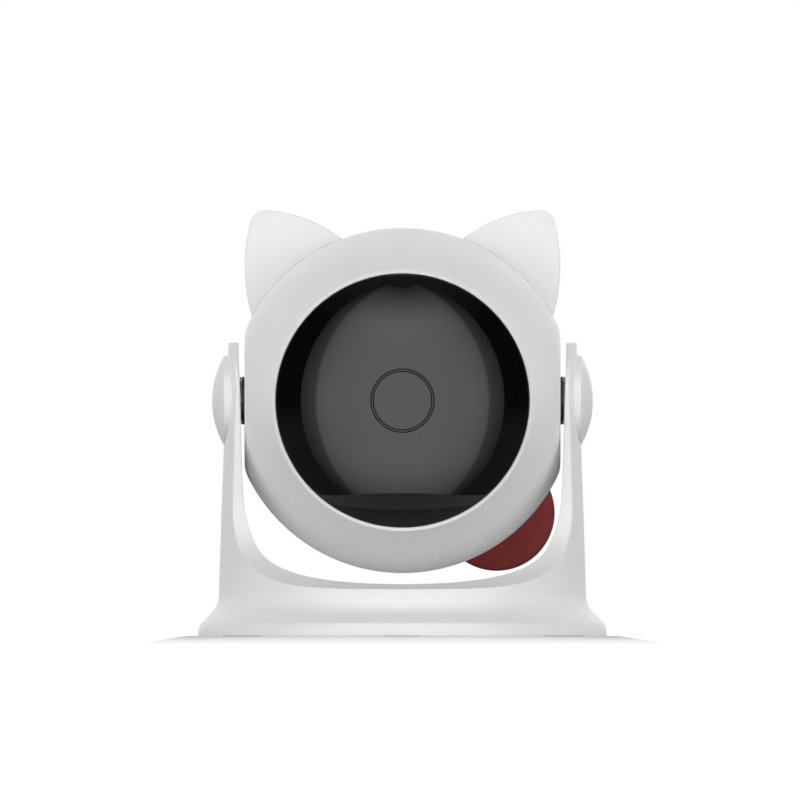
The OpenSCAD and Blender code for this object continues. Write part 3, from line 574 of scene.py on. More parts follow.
class StandSizes(bpy.types.PropertyGroup):
    """Sizes of the stand and its knobs."""

    waist_r: size("Waist", "Radius of the stand just above its flared foot", 56.9 * MM)
    flare_r: size("Flare", "Radius of the hollow curve above the rim", 8.6 * MM)
    flare_z: size("Flare height", "Height at which the hollow curve ends", 13.1 * MM)
    rim_edge_r: size("Rim edge", "Radius of the rim's rounded edge", 7.3 * MM)
    rim_z: size("Rim height", "Gap between the rim and the floor", 0.08 * MM)
    arm_r: size("Arm", "Half width of an arm and radius of its top", 18.0 * MM)
    arm_foot_z: size("Arm foot", "Height at which an arm starts to sweep out", 42.2 * MM)
    arm_spread: size("Arm spread", "Extra half width of an arm at its foot", 1.07 * MM)
    sweep_y: size("Sweep length", "Length of the curve from an arm to the front", 37.8 * MM)
    sweep_z: size("Sweep height", "Height of the curve from an arm to the front", 27.6 * MM)
    arm_in_x: size("Arm inside", "Distance of an arm's inner face at the tilt axis", 50.4 * MM)
    bowl_z: size("Bowl floor", "Height of the bowl's floor", 14.3 * MM)
    bowl_corner_x: size("Bowl flat", "Radius of the flat part of the bowl's floor", 37.3 * MM)
    bowl_corner_r: size("Bowl corner", "Radius of the bowl's rounded corner", 14.0 * MM)
    bowl_r: size("Bowl top", "Radius of the bowl at its top", 53.5 * MM)
    bowl_draw: size("Bowl draw", "How much the bowl widens beside the arms' feet", 0.65 * MM)
    bowl_draw_z: size("Bowl draw height", "Height over which it widens", 13.0 * MM)
    edge: size("Edge", "Rounding of the stand's edges", 0.5 * MM)
    cavity_r: size("Cavity", "Radius of the hollow under the bowl", 53.6 * MM)
    floor_t: size("Floor", "Thickness of the bowl's floor", 2.3 * MM)
    knob_dome: size("Knob dome", "Height of a knob's dome", 3.7 * MM)
    knob_edge: size("Knob edge", "Rounding of a knob's edge", 0.3 * MM)
    crease: size("Crease", "Rounding of the crease between foot and rim", 0.35 * MM)
    rim_round: size("Rim rounding", "Rounding of the rim's lowest edges", 0.1 * MM)
    knob_foot: size("Knob foot", "Part of a knob hidden in its seat's floor", 1.0 * MM)
    knob_gap: size("Knob gap", "Gap around a knob", 0.1 * MM)
    bore_r: size("Bore", "Radius of the pivot's bore in an arm", 6.0 * MM)
    collar_r: size("Collar", "Radius of a pivot's collar", 7.4 * MM)
    collar_w: size("Collar width", "Width of the collar seen beside the head", 0.84 * MM)
    collar_rib: size("Collar rib", "Depth of the collar's grooves", 0.13 * MM)


class FootSizes(bpy.types.PropertyGroup):
    """Sizes of the base plate, its screws and the rubber pads."""

    edge: size("Edge", "Rounding of the base plate", 0.3 * MM)
    gap: size("Gap", "Gap around the base plate and the pads", 0.1 * MM)
    pad_r: size("Pad", "Radius of a rubber pad", 6.0 * MM)
    pad_sink: size("Pad seat", "Depth of a pad's seat in the base plate", 1.0 * MM)
    pad_edge: size("Pad edge", "Rounding of a pad", 0.25 * MM)
    groove_r: size("Groove", "Outer radius of a pad's round groove", 5.2 * MM)
    groove_w: size("Groove width", "Width of a pad's round groove", 0.8 * MM)
    groove_t: size("Groove depth", "Depth of a pad's round groove", 0.15 * MM)
    groove_slope: size("Groove slope", "Width of the groove's sloped sides", 0.2 * MM)
    screw_ring_r: size("Screw circle", "Radius of the circle that the screws lie on", 44.0 * MM)
    screw_seat_r: size("Screw seat", "Radius of a screw's seat", 2.7 * MM)
    screw_sink: size("Screw sink", "Depth of a screw's seat", 0.8 * MM)
    screw_h: size("Screw height", "Height of a screw's head", 0.5 * MM)
    screw_rise: size("Screw rise", "How far a screw's head stands off its seat", 0.2 * MM)


class TagSizes(bpy.types.PropertyGroup):
    """Sizes of the hanging tag, its eyelet and its rivet."""

    edge: size("Edge", "Rounding of the tag's edge", 0.5 * MM)
    edge_w: size("Edge width", "Width of the tag's thinned edge", 0.8 * MM)
    wave: size("Wave", "Height of the slow waves in the leather", 0.07 * MM)
    hole_r: size("Hole", "Radius of the hole that holds the eyelet", 2.4 * MM)
    eyelet_r: size("Eyelet", "Inner radius of the eyelet", 1.6 * MM)
    eyelet_edge: size("Eyelet edge", "Rounding of the eyelet's flange", 0.25 * MM)
    eyelet_mouth: size("Eyelet mouth", "Rounding of the eyelet's inner edge", 0.3 * MM)
    shank_r: size("Rivet shank", "Radius of the rivet's shank", 1.5 * MM)
    rivet_foot_t: size("Rivet foot", "Thickness of the rivet's foot", 0.7 * MM)
    rivet_head_t: size("Rivet head", "Thickness of the rivet's head", 0.8 * MM)
    rivet_dome: size("Rivet dome", "Height of the rivet's dome", 0.55 * MM)
    rivet_edge: size("Rivet edge", "Rounding of the rivet's head", 0.15 * MM)


class Finishes(bpy.types.PropertyGroup):
    """Colours of the materials."""

    shell: tint("Shells", "White of the head's shells", (0.85, 0.85, 0.85))
    ear: tint("Ears", "White of the ears", (0.90, 0.905, 0.905))
    stand: tint("Stand", "White of the stand and knobs", (0.84, 0.84, 0.84))
    lens: tint("Lens", "Black of the smoked lens", (0.003, 0.003, 0.003))
    lens_ior: FloatProperty(name="Lens gloss", description="Index of refraction of the lens",
                            default=1.35, min=1.0, max=2.5)
    black: tint("Black", "Black of the pivots, clamps and straps", (0.035, 0.035, 0.036))
    rubber: tint("Rubber", "Grey of the rubber feet and washers", (0.5, 0.5, 0.5))
    grey: tint("Grey", "Grey of the inner plastics", (0.35, 0.35, 0.35))
    board: tint("Board", "Green of the boards", (0.02, 0.2, 0.08))
    steel: tint("Steel", "Plated steel", (0.62, 0.62, 0.63))
    brass: tint("Brass", "Brass of the laser's barrel", (0.75, 0.58, 0.3))
    cell: tint("Cell", "Sleeve of the battery cell", (0.1, 0.25, 0.5))
    tag: tint("Tag", "Dark red leather", (0.27, 0.036, 0.034))


class Studio(bpy.types.PropertyGroup):
    """Floor, light and camera."""

    camera_distance: size("Camera distance", "Distance from the object to the camera", 2.0)
    tent_r: size("Light distance", "Distance of the light panels", 1.6)
    gloss_light: FloatProperty(name="Gloss light", default=4.3, min=0.0,
                               description="Brightness of the front panel in reflections")
    card_light: FloatProperty(name="Card light", default=0.18, min=0.0,
                              description="Brightness of the cards' glow in reflections")
    sky_light: FloatProperty(name="Sky light", default=4.45, min=0.0,
                             description="Brightness of the horizon that lights the object")


class LaserToy(bpy.types.PropertyGroup):
    """All settings of the toy."""

    head: PointerProperty(type=HeadSizes)
    back: PointerProperty(type=BackSizes)
    ear: PointerProperty(type=EarSizes)
    face: PointerProperty(type=FaceSizes)
    stand: PointerProperty(type=StandSizes)
    foot: PointerProperty(type=FootSizes)
    tag: PointerProperty(type=TagSizes)
    finishes: PointerProperty(type=Finishes)
    studio: PointerProperty(type=Studio)


# Head


def ball_side(r_sphere, y):
    """Radius of a ball about the tilt axis at a place y along the face's axis."""
    return np.sqrt(np.maximum(r_sphere**2 - np.asarray(y) ** 2, 0))


def shell_grid(outline, steps=448):
    """Shell of the head from an outline of (y, radius), turned about the face's axis. Where
    the ball passes its flat sides, the radius is the smaller of the two,
    (r^-n + (flat / |cos a|)^-n)^(-1/n), which rounds the edge between them."""
    y, r = np.asarray(outline).T
    inset = ball_side(HEAD_R, y) - r
    a = np.linspace(0, 2 * np.pi, steps, endpoint=False)[:, None]
    side = (FLAT_X - inset) / np.maximum(np.abs(np.cos(a)), 1e-3)
    sharpness = 140.0
    ratio = np.minimum(r, side) / np.maximum(r, side)
    r = np.minimum(r, side) * (1 + ratio**sharpness) ** (-1 / sharpness)
    grid = np.stack([r * np.cos(a), np.broadcast_to(y, r.shape), r * np.sin(a)], -1)
    return grid + HEAD_C


def ball_arc(radius, y0, y1, steps):
    """Points (y, radius) along a ball about the tilt axis from y0 to y1."""
    a = np.linspace(math.acos(-y0 / radius), math.acos(-y1 / radius), steps + 1)
    return np.column_stack([-radius * np.cos(a), radius * np.sin(a)])


def ball_front(radius, side):
    """Place along the face's axis where a ball's front has the distance side from it."""
    return -math.sqrt(radius**2 - side**2)


def front_shell(s):
    """Front shell: opening wall, flat lip, ball and parting line, closed by its inner wall."""
    inner_r = HEAD_R - s.wall
    seat_y = LIP_Y + s.lip_depth
    outer = ball_arc(HEAD_R, LIP_Y, SEAM_Y, 56)
    inner = ball_arc(inner_r, SEAM_Y, seat_y, 28)
    mouth = [(seat_y, s.opening_r), (LIP_Y, s.opening_r)]
    corners = np.vstack([mouth, outer, inner, mouth[:1]])
    cut = np.zeros(len(corners))
    cut[1] = cut[2] = s.lip_edge
    cut[2 + len(outer) - 1] = s.seam_edge
    return shell_grid(soften(corners, cut))


def rear_shell(s, cover_r):
    """Rear shell: parting line, ball, flat back and the recess for the rear cover."""
    inner_r = HEAD_R - s.wall
    cover_y = low("rear_cover")[1]
    ledge_y = cover_y - s.wall
    recess_r = cover_r + s.cover_gap
    ledge_r = cover_r - s.cover_ledge
    outer = ball_arc(HEAD_R, SEAM_Y, BACK_Y, 40)
    inner = ball_arc(inner_r, ledge_y, SEAM_Y, 24)
    back = [(BACK_Y, recess_r), (cover_y, recess_r), (cover_y, ledge_r), (ledge_y, ledge_r)]
    corners = np.vstack([outer, back, inner, outer[:1], outer[1:2]])
    cut = np.zeros(len(corners))
    cut[len(outer) - 1] = s.back_edge
    cut[len(outer)] = s.lip_edge
    cut[-2] = s.seam_edge
    return shell_grid(soften(corners, cut)[:-1])


def peg(radius, y0, y1, centre, steps=64):
    """Plain round cutter along Y."""
    return solid("cutter", [(lathe([(y0, 0), (y0, radius), (y1, radius), (y1, 0)], "Y",
                                   centre, steps), True)])


def ring_places(ring_r, degrees):
    """Places on a circle about the face's axis."""
    a = np.radians(degrees)
    return [HEAD_C + np.array([ring_r * math.cos(t), 0, ring_r * math.sin(t)]) for t in a]


def screw_head(radius, height, centre, axis, out, turn=0.0):
    """Pan screw head with a cross recess. The top is a dome, h * (1 - (r/R)^2 / 3), sunk
    along two crossed slots whose depth fades out towards their ends."""
    a = np.linspace(0, 2 * np.pi, 72, endpoint=False)[:, None]
    r = np.r_[np.linspace(0, 0.86, 30), 0.93, 0.98, 1.0, 1.0, 0.0][None, :] * radius
    rise = np.r_[np.ones(30), 0.96, 0.8, 0.5, -1.0, -1.0][None, :] * height
    u, v = r * np.cos(a - turn), r * np.sin(a - turn)
    slot_w, slot_len = 0.2 * radius, 0.62 * radius

    def slot(across, along):
        side = np.clip((slot_w - np.abs(across)) / (0.25 * slot_w), 0, 1)
        end = np.clip((slot_len - np.abs(along)) / (0.4 * slot_len), 0, 1)
        return side * end

    sunk = np.maximum(slot(u, v), slot(v, u)) * 0.7 * height
    up = out * (rise - (rise > 0) * (rise * (r / radius) ** 2 / 3 + sunk))
    x, across = r * np.cos(a), r * np.sin(a)
    points = (x, up, across) if axis == "Y" else (x, across, up)
    return np.stack(points, -1) + np.asarray(centre)


# Ears


def ear_outline(s):
    """Outline of the left ear in (x, z) about the head's centre: the crossing of two circles
    with a round tip, open at the root inside the head."""
    outer_c = np.array([s.outer_x, s.outer_z])
    top_c = np.array([-s.top_x, s.top_z])
    outer_run, top_run = 39, 48
    ra, rb = s.outer_r - s.tip_r, s.top_r - s.tip_r
    gap = top_c - outer_c
    distance = np.linalg.norm(gap)
    along = (ra**2 - rb**2 + distance**2) / (2 * distance)
    aside = math.sqrt(ra**2 - along**2)
    u = gap / distance
    tip = outer_c + along * u + aside * np.array([u[1], -u[0]])
    turn_a = math.degrees(math.atan2(*(tip - outer_c)[::-1]))
    turn_b = math.degrees(math.atan2(*(tip - top_c)[::-1]))
    return np.vstack([arc(outer_c, s.outer_r, turn_a + outer_run, turn_a, 72)[:-1],
                      arc(tip, s.tip_r, turn_a, turn_b, 22)[:-1],
                      arc(top_c, s.top_r, turn_b, turn_b - top_run, 72)])


def ear_grid(s, mirror):
    """Ear: from a root point inside the head, each face runs out to the outline with the
    crown h * (1 - v^2), v from 0 at the root to 1 at the edge, and a rounded edge."""
    rim = ear_outline(s)
    tangent = np.gradient(rim, axis=0)
    tangent /= np.linalg.norm(tangent, axis=1)[:, None]
    inward = np.column_stack([tangent[:, 1], -tangent[:, 0]])
    root = np.array([-s.root_x, s.root_z])
    inward *= np.sign(np.sum(inward * (root - rim), axis=1))[:, None]
    y0, y1 = low("ear_left")[1], high("ear_left")[1]
    q = np.radians(np.linspace(0, 90, 6))
    inset, rise = s.edge * (1 - np.sin(q)), s.edge * (1 - np.cos(q))
    face = [(root + (rim + inward * s.edge - root) * v, y0 + s.crown * v**2)
            for v in np.linspace(0, 1, 25)[:-1]]
    edge = [(rim + inward * d, y0 + s.crown + h) for d, h in zip(inset, rise)]
    front = np.stack([np.column_stack([flat[:, 0], np.full(len(rim), y), flat[:, 1]])
                      for flat, y in face + edge], 1)
    back = front[:, ::-1].copy()
    back[..., 1] = y0 + y1 - back[..., 1]
    grid = np.hstack([front, back])
    grid[..., 0] *= mirror
    return grid + HEAD_C


# Stand


# How much the stand narrows for each metre above its flare, and for each metre squared
TAPER = 0.026
BOW = 0.15
# Lean of the arms' inner faces
LEAN = math.tan(math.radians(1.4))
# Height at which the mesh of the arms takes over from the mesh of the foot
MESH_TURN_Z = 40 * MM


class StandShape:
    """The stand's surfaces as functions. All lengths are in metres.

    Outside: a slight taper that bows with height,
    r = waist - TAPER (z - flare) - BOW (z - flare)^2.
    Side view: a quarter ellipse from the front up to an arm, a straight leg and a round top.
    Inside: a bowl turned about Z, cut by the arms' flat inner faces.
    """

    def __init__(self, s):
        self.s = s
        self.foot_y = s.arm_r + s.arm_spread
        self.sweep_c = self.foot_y + s.sweep_y
        corner_z = s.bowl_z + s.bowl_corner_r
        flat = np.column_stack([np.linspace(0, s.bowl_corner_x, 40), np.full(40, s.bowl_z)])
        self.bowl = np.vstack([
            flat, arc((s.bowl_corner_x, corner_z), s.bowl_corner_r, 270, 355, 90)[1:],
            [(s.bowl_r - s.bowl_draw, s.arm_foot_z), (s.bowl_r, s.arm_foot_z + s.bowl_draw_z),
             (s.bowl_r, PIVOT_Z + 2 * s.arm_r)]])
        self.length = length_along(self.bowl)
        self.wall = slice(len(flat) - 1, None)

    def outer_r(self, z):
        rise = z - self.s.flare_z
        return self.s.waist_r - TAPER * rise - BOW * rise**2

    def inner_x(self, z):
        return self.s.arm_in_x + (z - PIVOT_Z) * LEAN

    def side(self, t):
        """(y, z) of the side view's edge: t from 0 to 1 on the ellipse, to 2 on the leg, to 3
        on the round top."""
        s = self.s
        a = np.radians(270 - 90 * np.clip(t, 0, 1))
        leg = np.clip(t - 1, 0, 1)
        b = np.radians(90 * np.clip(t - 2, 0, 1))
        y = np.where(t < 1, self.sweep_c + s.sweep_y * np.cos(a),
                     np.where(t < 2, self.foot_y - s.arm_spread * leg, s.arm_r * np.cos(b)))
        z = np.where(t < 1, s.arm_foot_z + s.sweep_z * np.sin(a),
                     np.where(t < 2, s.arm_foot_z + (PIVOT_Z - s.arm_foot_z) * leg,
                              PIVOT_Z + s.arm_r * np.sin(b)))
        return y, z

    def outer_point(self, turn, z):
        """Point outside at an angle from +X and a height."""
        r = self.outer_r(z)
        return np.stack([r * np.cos(turn), r * np.sin(turn), z], -1)

    def way_at(self, z):
        """Distance along the bowl's profile from the centre to a height of its wall."""
        return np.interp(z, self.bowl[self.wall, 1], self.length[self.wall])

    def bowl_at(self, way):
        """(radius, height) of the bowl at a distance along its profile from the centre."""
        return (np.interp(way, self.length, self.bowl[:, 0]),
                np.interp(way, self.length, self.bowl[:, 1]))

    def inner_point(self, plan):
        """Point inside from the unrolled bowl: plan is way * (cos turn, sin turn)."""
        way = np.hypot(plan[..., 0], plan[..., 1])
        turn = np.arctan2(plan[..., 1], plan[..., 0])
        r, z = self.bowl_at(way)
        x = r * np.cos(turn)
        flat = self.inner_x(z)
        sharpness = 160.0
        small, large = np.minimum(x, flat), np.maximum(x, flat)
        x = small * (1 + (small / np.maximum(large, 1e-9)) ** sharpness) ** (-1 / sharpness)
        return np.stack([x, r * np.sin(turn), z], -1)

    def plan_of(self, y, z):
        """Place in the unrolled bowl of a point of an inner wall at y and z."""
        way = self.way_at(z)
        turn = np.arcsin(np.clip(y / self.bowl_at(way)[0], -1, 1))
        return np.stack([way * np.cos(turn), way * np.sin(turn)], -1)


def length_along(points):
    """Distance of each point of a line from its start, along the line."""
    return np.r_[0, np.cumsum(np.linalg.norm(np.diff(points, axis=0), axis=1))]


def round_edge(before, edge, after, steps=5):
    """Parabola from one surface to the next, drawn towards the sharp edge between them."""
    t = np.linspace(0, 1, steps + 1)[None, 1:-1, None]
    return ((1 - t) ** 2 * before[:, None] + 2 * t * (1 - t) * edge[:, None]
            + t**2 * after[:, None])


def share_for(edge, near, step, reach):
    """Share of a way at which a surface is the distance reach from its edge, from one step."""
    return reach / np.maximum(np.linalg.norm(near - edge, axis=-1), 1e-7) * step


def stand_quarter(shape, knob_r):
    """One quarter of the stand above its flare, and the turns of its lowest points. Each row
    crosses the edge: from a line on the outside up to the cut, over the cut's width and down
    the inside to a line in the bowl. knob_r is the radius of a knob's seat."""
    s = shape.s
    t_first = np.linspace(0, 1, 2001) ** 2
    y, z = shape.side(t_first)
    x = np.sqrt(np.maximum(shape.outer_r(z) ** 2 - y**2, 0))
    way = length_along(np.column_stack([x, y, z]))
    t_sweep = np.interp(np.linspace(0, 1, 85) * way[-1], way, t_first)
    leg_steps = [(1.0, 1.55, 16), (1.55, 1.78, 8), (1.78, 2.0, 8)]
    t = np.r_[t_sweep, *[np.linspace(a, b, n + 1)[1:] for a, b, n in leg_steps],
              np.linspace(2, 3, 33)[1:]]

    # Outer edge, and its line on the outside: along the flare's top, then up the arm's middle
    y, z = shape.side(t)
    turn = np.arcsin(np.clip(y / shape.outer_r(z), -1, 1))
    n = len(t_sweep)
    share = np.linspace(0, 1, n)
    bend = 0.6
    flat = np.clip(share / bend, 0, 1)
    base_turn = np.pi / 2 * (1 - flat)
    base_z = s.flare_z + (MESH_TURN_Z - s.flare_z) * np.clip((share - bend) / (1 - bend), 0, 1)
    spine_y, spine_z = leg_spine(shape, t[n:], knob_r)
    turn_in = np.r_[base_turn, np.arcsin(spine_y / shape.outer_r(spine_z))]
    z_in = np.r_[base_z, spine_z]

    def outside(v):
        return shape.outer_point(turn + (turn_in - turn) * v, z + (z_in - z) * v)

    edge_out = outside(0)
    cut_out = share_for(edge_out, outside(0.01), 0.01, s.edge)

    # Inner edge, where the bowl or an inner face meets the cut
    t_more = np.linspace(0, 1, 4001)
    my, mz = shape.side(t_more)
    meet = t_more[np.argmax(my < shape.bowl_at(shape.way_at(mz))[0])]
    t_in = np.where(t < 1, meet + (1 - meet) * t, t)
    iy, iz = shape.side(t_in)
    plan = shape.plan_of(iy, iz)
    plan[0] = (0, np.hypot(*plan[0]))
    spine = np.column_stack([share * shape.way_at(MESH_TURN_Z), np.zeros(n)])
    pin_y, pin_z = leg_spine(shape, t[n:], s.bore_r)
    plan_in = np.vstack([spine, shape.plan_of(pin_y, pin_z)])

    def inside(v):
        return shape.inner_point(plan + (plan_in - plan) * v[..., None])

    edge_in = inside(np.zeros(len(t)))
    cut_in = share_for(edge_in, inside(np.full(len(t), 0.01)), 0.01, s.edge)

    def strip(v):
        """On the cut: v runs from the outer to the inner edge."""
        ty, tz = shape.side(t + (t_in - t) * v)
        tx = edge_out[:, 0] + (edge_in[:, 0] - edge_out[:, 0]) * v
        return np.stack([tx, ty, tz], -1)

    width = np.linalg.norm(edge_in - edge_out, axis=1)
    inset = s.edge / width
    out_rows = [outside(v) for v in
                cut_out + (1 - cut_out) * np.linspace(1, 0, 23)[:, None] ** 1.6]
    strip_rows = [strip(v) for v in inset + (1 - 2 * inset) * np.linspace(0, 1, 9)[:, None]]
    in_rows = [inside(v) for v in cut_in + (1 - cut_in) * np.linspace(0, 1, 35)[:, None] ** 1.4]
    crossing = np.concatenate([
        np.stack(out_rows, 1), round_edge(out_rows[-1], edge_out, strip_rows[0]),
        np.stack(strip_rows, 1), round_edge(strip_rows[-1], edge_in, in_rows[0]),
        np.stack(in_rows, 1)], 1)
    return crossing, np.r_[base_turn[flat < 1], 0.0]


def leg_spine(shape, t, hole_r):
    """Line that an arm's rows end on: up the middle to a round hole about the tilt axis, and
    around the hole to its top. t is the side view's, 1 to 3."""
    s = shape.s
    _, z = shape.side(t)
    bottom = PIVOT_Z - hole_r
    share = (z - s.arm_foot_z) / (bottom - s.arm_foot_z)
    up = MESH_TURN_Z + share * (bottom - MESH_TURN_Z)
    a = np.where(t < 2, np.radians(90 * (z - PIVOT_Z) / hole_r), np.radians(90 * (t - 2)))
    on_hole = z >= bottom
    y = np.where(on_hole, hole_r * np.cos(a), 0)
    z = np.where(on_hole, PIVOT_Z + hole_r * np.sin(a), up)
    return y, z


def knob_seat(shape, knob_r):
    """Round seat that a knob sits in: a wall in from the arm's outside, and its floor."""
    a = np.linspace(0, 2 * np.pi, 160, endpoint=False)
    y, z = knob_r * np.cos(a), PIVOT_Z + knob_r * np.sin(a)
    x = np.sqrt(shape.outer_r(z) ** 2 - y**2)
    seat = np.full(len(a), low("side_knob_right")[0])
    rows = [np.column_stack([x, y, z]), np.column_stack([seat, y, z]),
            np.column_stack([seat, y * 0, z * 0 + PIVOT_Z])]
    return np.stack(rows, 1)


def stand_foot(shape, turns, gap):
    """Flared foot and rim below the stand's bowl, and the hollow under it, for one quarter.
    gap is the one around the base plate."""
    s = shape.s
    rim_r = high("stand_frame")[0]
    under, above = high("base_plate")[[0, 2]] + gap
    top = s.bowl_z - s.floor_t
    flare = arc((s.waist_r + s.flare_r, s.flare_z), s.flare_r, 180, 225, 18)
    edge = arc((rim_r - s.rim_edge_r, low("stand_frame")[2]), s.rim_edge_r, 30, 0, 8)
    hollow = [(rim_r, s.rim_z), (under, s.rim_z), (under, above), (s.cavity_r, above),
              (s.cavity_r, top), (0, top)]
    cut = [0] * 18 + [s.crease] * 2 + [0] * 8 + [s.rim_round] * 2 + [0] * 4
    outline = soften(np.vstack([flare, edge, hollow]), cut)
    r, z = outline.T
    return np.stack([np.cos(turns)[:, None] * r, np.sin(turns)[:, None] * r,
                     np.broadcast_to(z, (len(turns), len(z)))], -1)


def quarters(grid):
    """A quarter and its mirror images."""
    return [(grid * (x, y, 1), False) for x in (1, -1) for y in (1, -1)]


# Operators


class Piece(bpy.types.Operator):
    """Base of the toy's operators."""

    bl_options = {"REGISTER", "UNDO"}

    @property
    def sizes(self):
        return bpy.context.scene.laser_toy


class TOY_OT_head(Piece):
    """Builds the two shells of the ball-shaped head"""

    bl_idname = "laser_toy.head"
    bl_label = "Head shells"

    def execute(self, context):
        s = self.sizes.head
        front = solid("shell_front", [(front_shell(s), True)])
        settle(front, "head", "shell_white", "front_shell")
        rear = solid("shell_rear", [(rear_shell(s, radius("rear_cover")), True)])
        wells = [peg(s.well_r, s.well_seat_y, HEAD_R, place)
                 for place in ring_places(s.well_ring_r, [45, 135, 225, 315])]
        settle(carve(rear, wells), "head", "shell_white", "rear_shell")
        return {"FINISHED"}


class TOY_OT_back(Piece):
    """Builds the rear cover with its screws and the charging inlet"""

    bl_idname = "laser_toy.back"
    bl_label = "Rear cover"

    def execute(self, context):
        s = self.sizes.back
        y0, y1 = low("rear_cover")[1], high("rear_cover")[1]
        cover_r = radius("rear_cover")
        outline = soften([(y0, 0), (y0, cover_r), (y1, cover_r), (y1, 0)], [0, FINE, s.edge, 0])
        cover = solid("cover_back", [(lathe(outline, "Y", HEAD_C, 224), True)])
        places = ring_places(cover_r - s.screw_inset, [60, 120, 240, 300])
        cutters = [peg(s.screw_r + s.screw_gap, y1 - s.screw_sink, y1 + PAST, place)
                   for place in places]
        cutters += [inlet("cutter", s.dish_w, y1 - s.dish_t, y1 + PAST),
                    inlet("cutter", s.inlet_gap, y0 - PAST, y1 + PAST)]
        settle(carve(cover, cutters), "head", "shell_white", "rear_cover")
        seat = (0, high("cover_screws")[1] - s.screw_h, 0)
        heads = [(screw_head(s.screw_r, s.screw_h, place + seat, "Y", 1, turn), True)
                 for place, turn in zip(places, (0.4, 1.1, 0.1, 0.8))]
        settle(solid("cover_screw_heads", heads, 30), "head", "screw_steel", "cover_screws")
        self.socket(s)
        return {"FINISHED"}

    def socket(self, s):
        """Charging socket: a steel shell with a tongue inside."""
        y0, y1 = low("usb_socket")[1], high("usb_socket")[1]
        shell = solid("inlet_shell", [(inlet_ring(s, y0, y1), True)])
        settle(shell, "head", "motor_steel", "usb_socket")
        w, t = s.tongue_w / 2, s.tongue_t / 2
        outline = soften([(-w, 0), (-w, t), (w, t), (w, -t), (-w, -t), (-w, 0)], s.tongue_edge)
        foot_y, tip_y = y0 + s.tongue_foot, y1 - s.tongue_sink
        places = [(foot_y, 0), (foot_y, 1), (tip_y - s.tongue_bevel, 1), (tip_y, 0.94), (tip_y, 0)]
        rows = inlet_rows(outline + middle("usb_socket")[[0, 2]], places)
        tongue = solid("inlet_tongue", [(np.stack(rows, 1), True)], 35)
        settle(tongue, "head", "black_plastic")


def inlet_outline(grow):
    """Closed outline of the inlet in (x, z): two half circles joined by straight sides."""
    w, h = (high("usb_socket") - low("usb_socket"))[[0, 2]]
    r, half = h / 2 + grow, (w - h) / 2
    ends = [arc((half, 0), r, -90, 90, 20), arc((-half, 0), r, 90, 270, 20)]
    c = middle("usb_socket")
    return np.vstack(ends) + (c[0], c[2])


def inlet_rows(outline, places):
    """Rows of an outline carried along Y, each (y, share of its size)."""
    c = middle("usb_socket")[[0, 2]]
    rows = []
    for y, share in places:
        flat = c + (outline - c) * share
        rows.append(np.column_stack([flat[:, 0], np.full(len(flat), y), flat[:, 1]]))
    return rows


def inlet(name, grow, y0, y1):
    """Solid of the inlet's outline between two places along Y."""
    rows = inlet_rows(inlet_outline(grow), [(y0, 0), (y0, 1), (y1, 1), (y1, 0)])
    return solid(name, [(np.stack(rows, 1), True)])


def inlet_ring(s, y0, y1):
    """Tube of the inlet's outline with a rounded mouth, just inside the CAD node."""
    inside = 0.02 * MM
    outer, inner = inlet_outline(-inside), inlet_outline(-inside - s.inlet_wall)
    edge_y = y1 - s.inlet_edge
    rows = (inlet_rows(outer, [(y0, 1), (edge_y, 1)]) + inlet_rows((outer + inner) / 2, [(y1, 1)])
            + inlet_rows(inner, [(edge_y, 1), (y0, 1)]) + inlet_rows(outer, [(y0, 1)]))
    return np.stack(rows, 1)


class TOY_OT_ears(Piece):
    """Builds the two cat ears"""

    bl_idname = "laser_toy.ears"
    bl_label = "Ears"

    def execute(self, context):
        for name, node, side in (("ear_plate_left", "ear_left", 1),
                                 ("ear_plate_right", "ear_right", -1)):
            ear = solid(name, [(ear_grid(self.sizes.ear, side), False)])
            settle(ear, "head", "ear_white", node)
        return {"FINISHED"}


def turned(name, corners, cut, body, slot, node, steps=192):
    """Piece turned about the face's axis from corners and their rounding, in its finish."""
    grid = lathe(soften(corners, cut), "Y", HEAD_C, steps)
    return settle(solid(name, [(grid, True)]), body, slot, node)


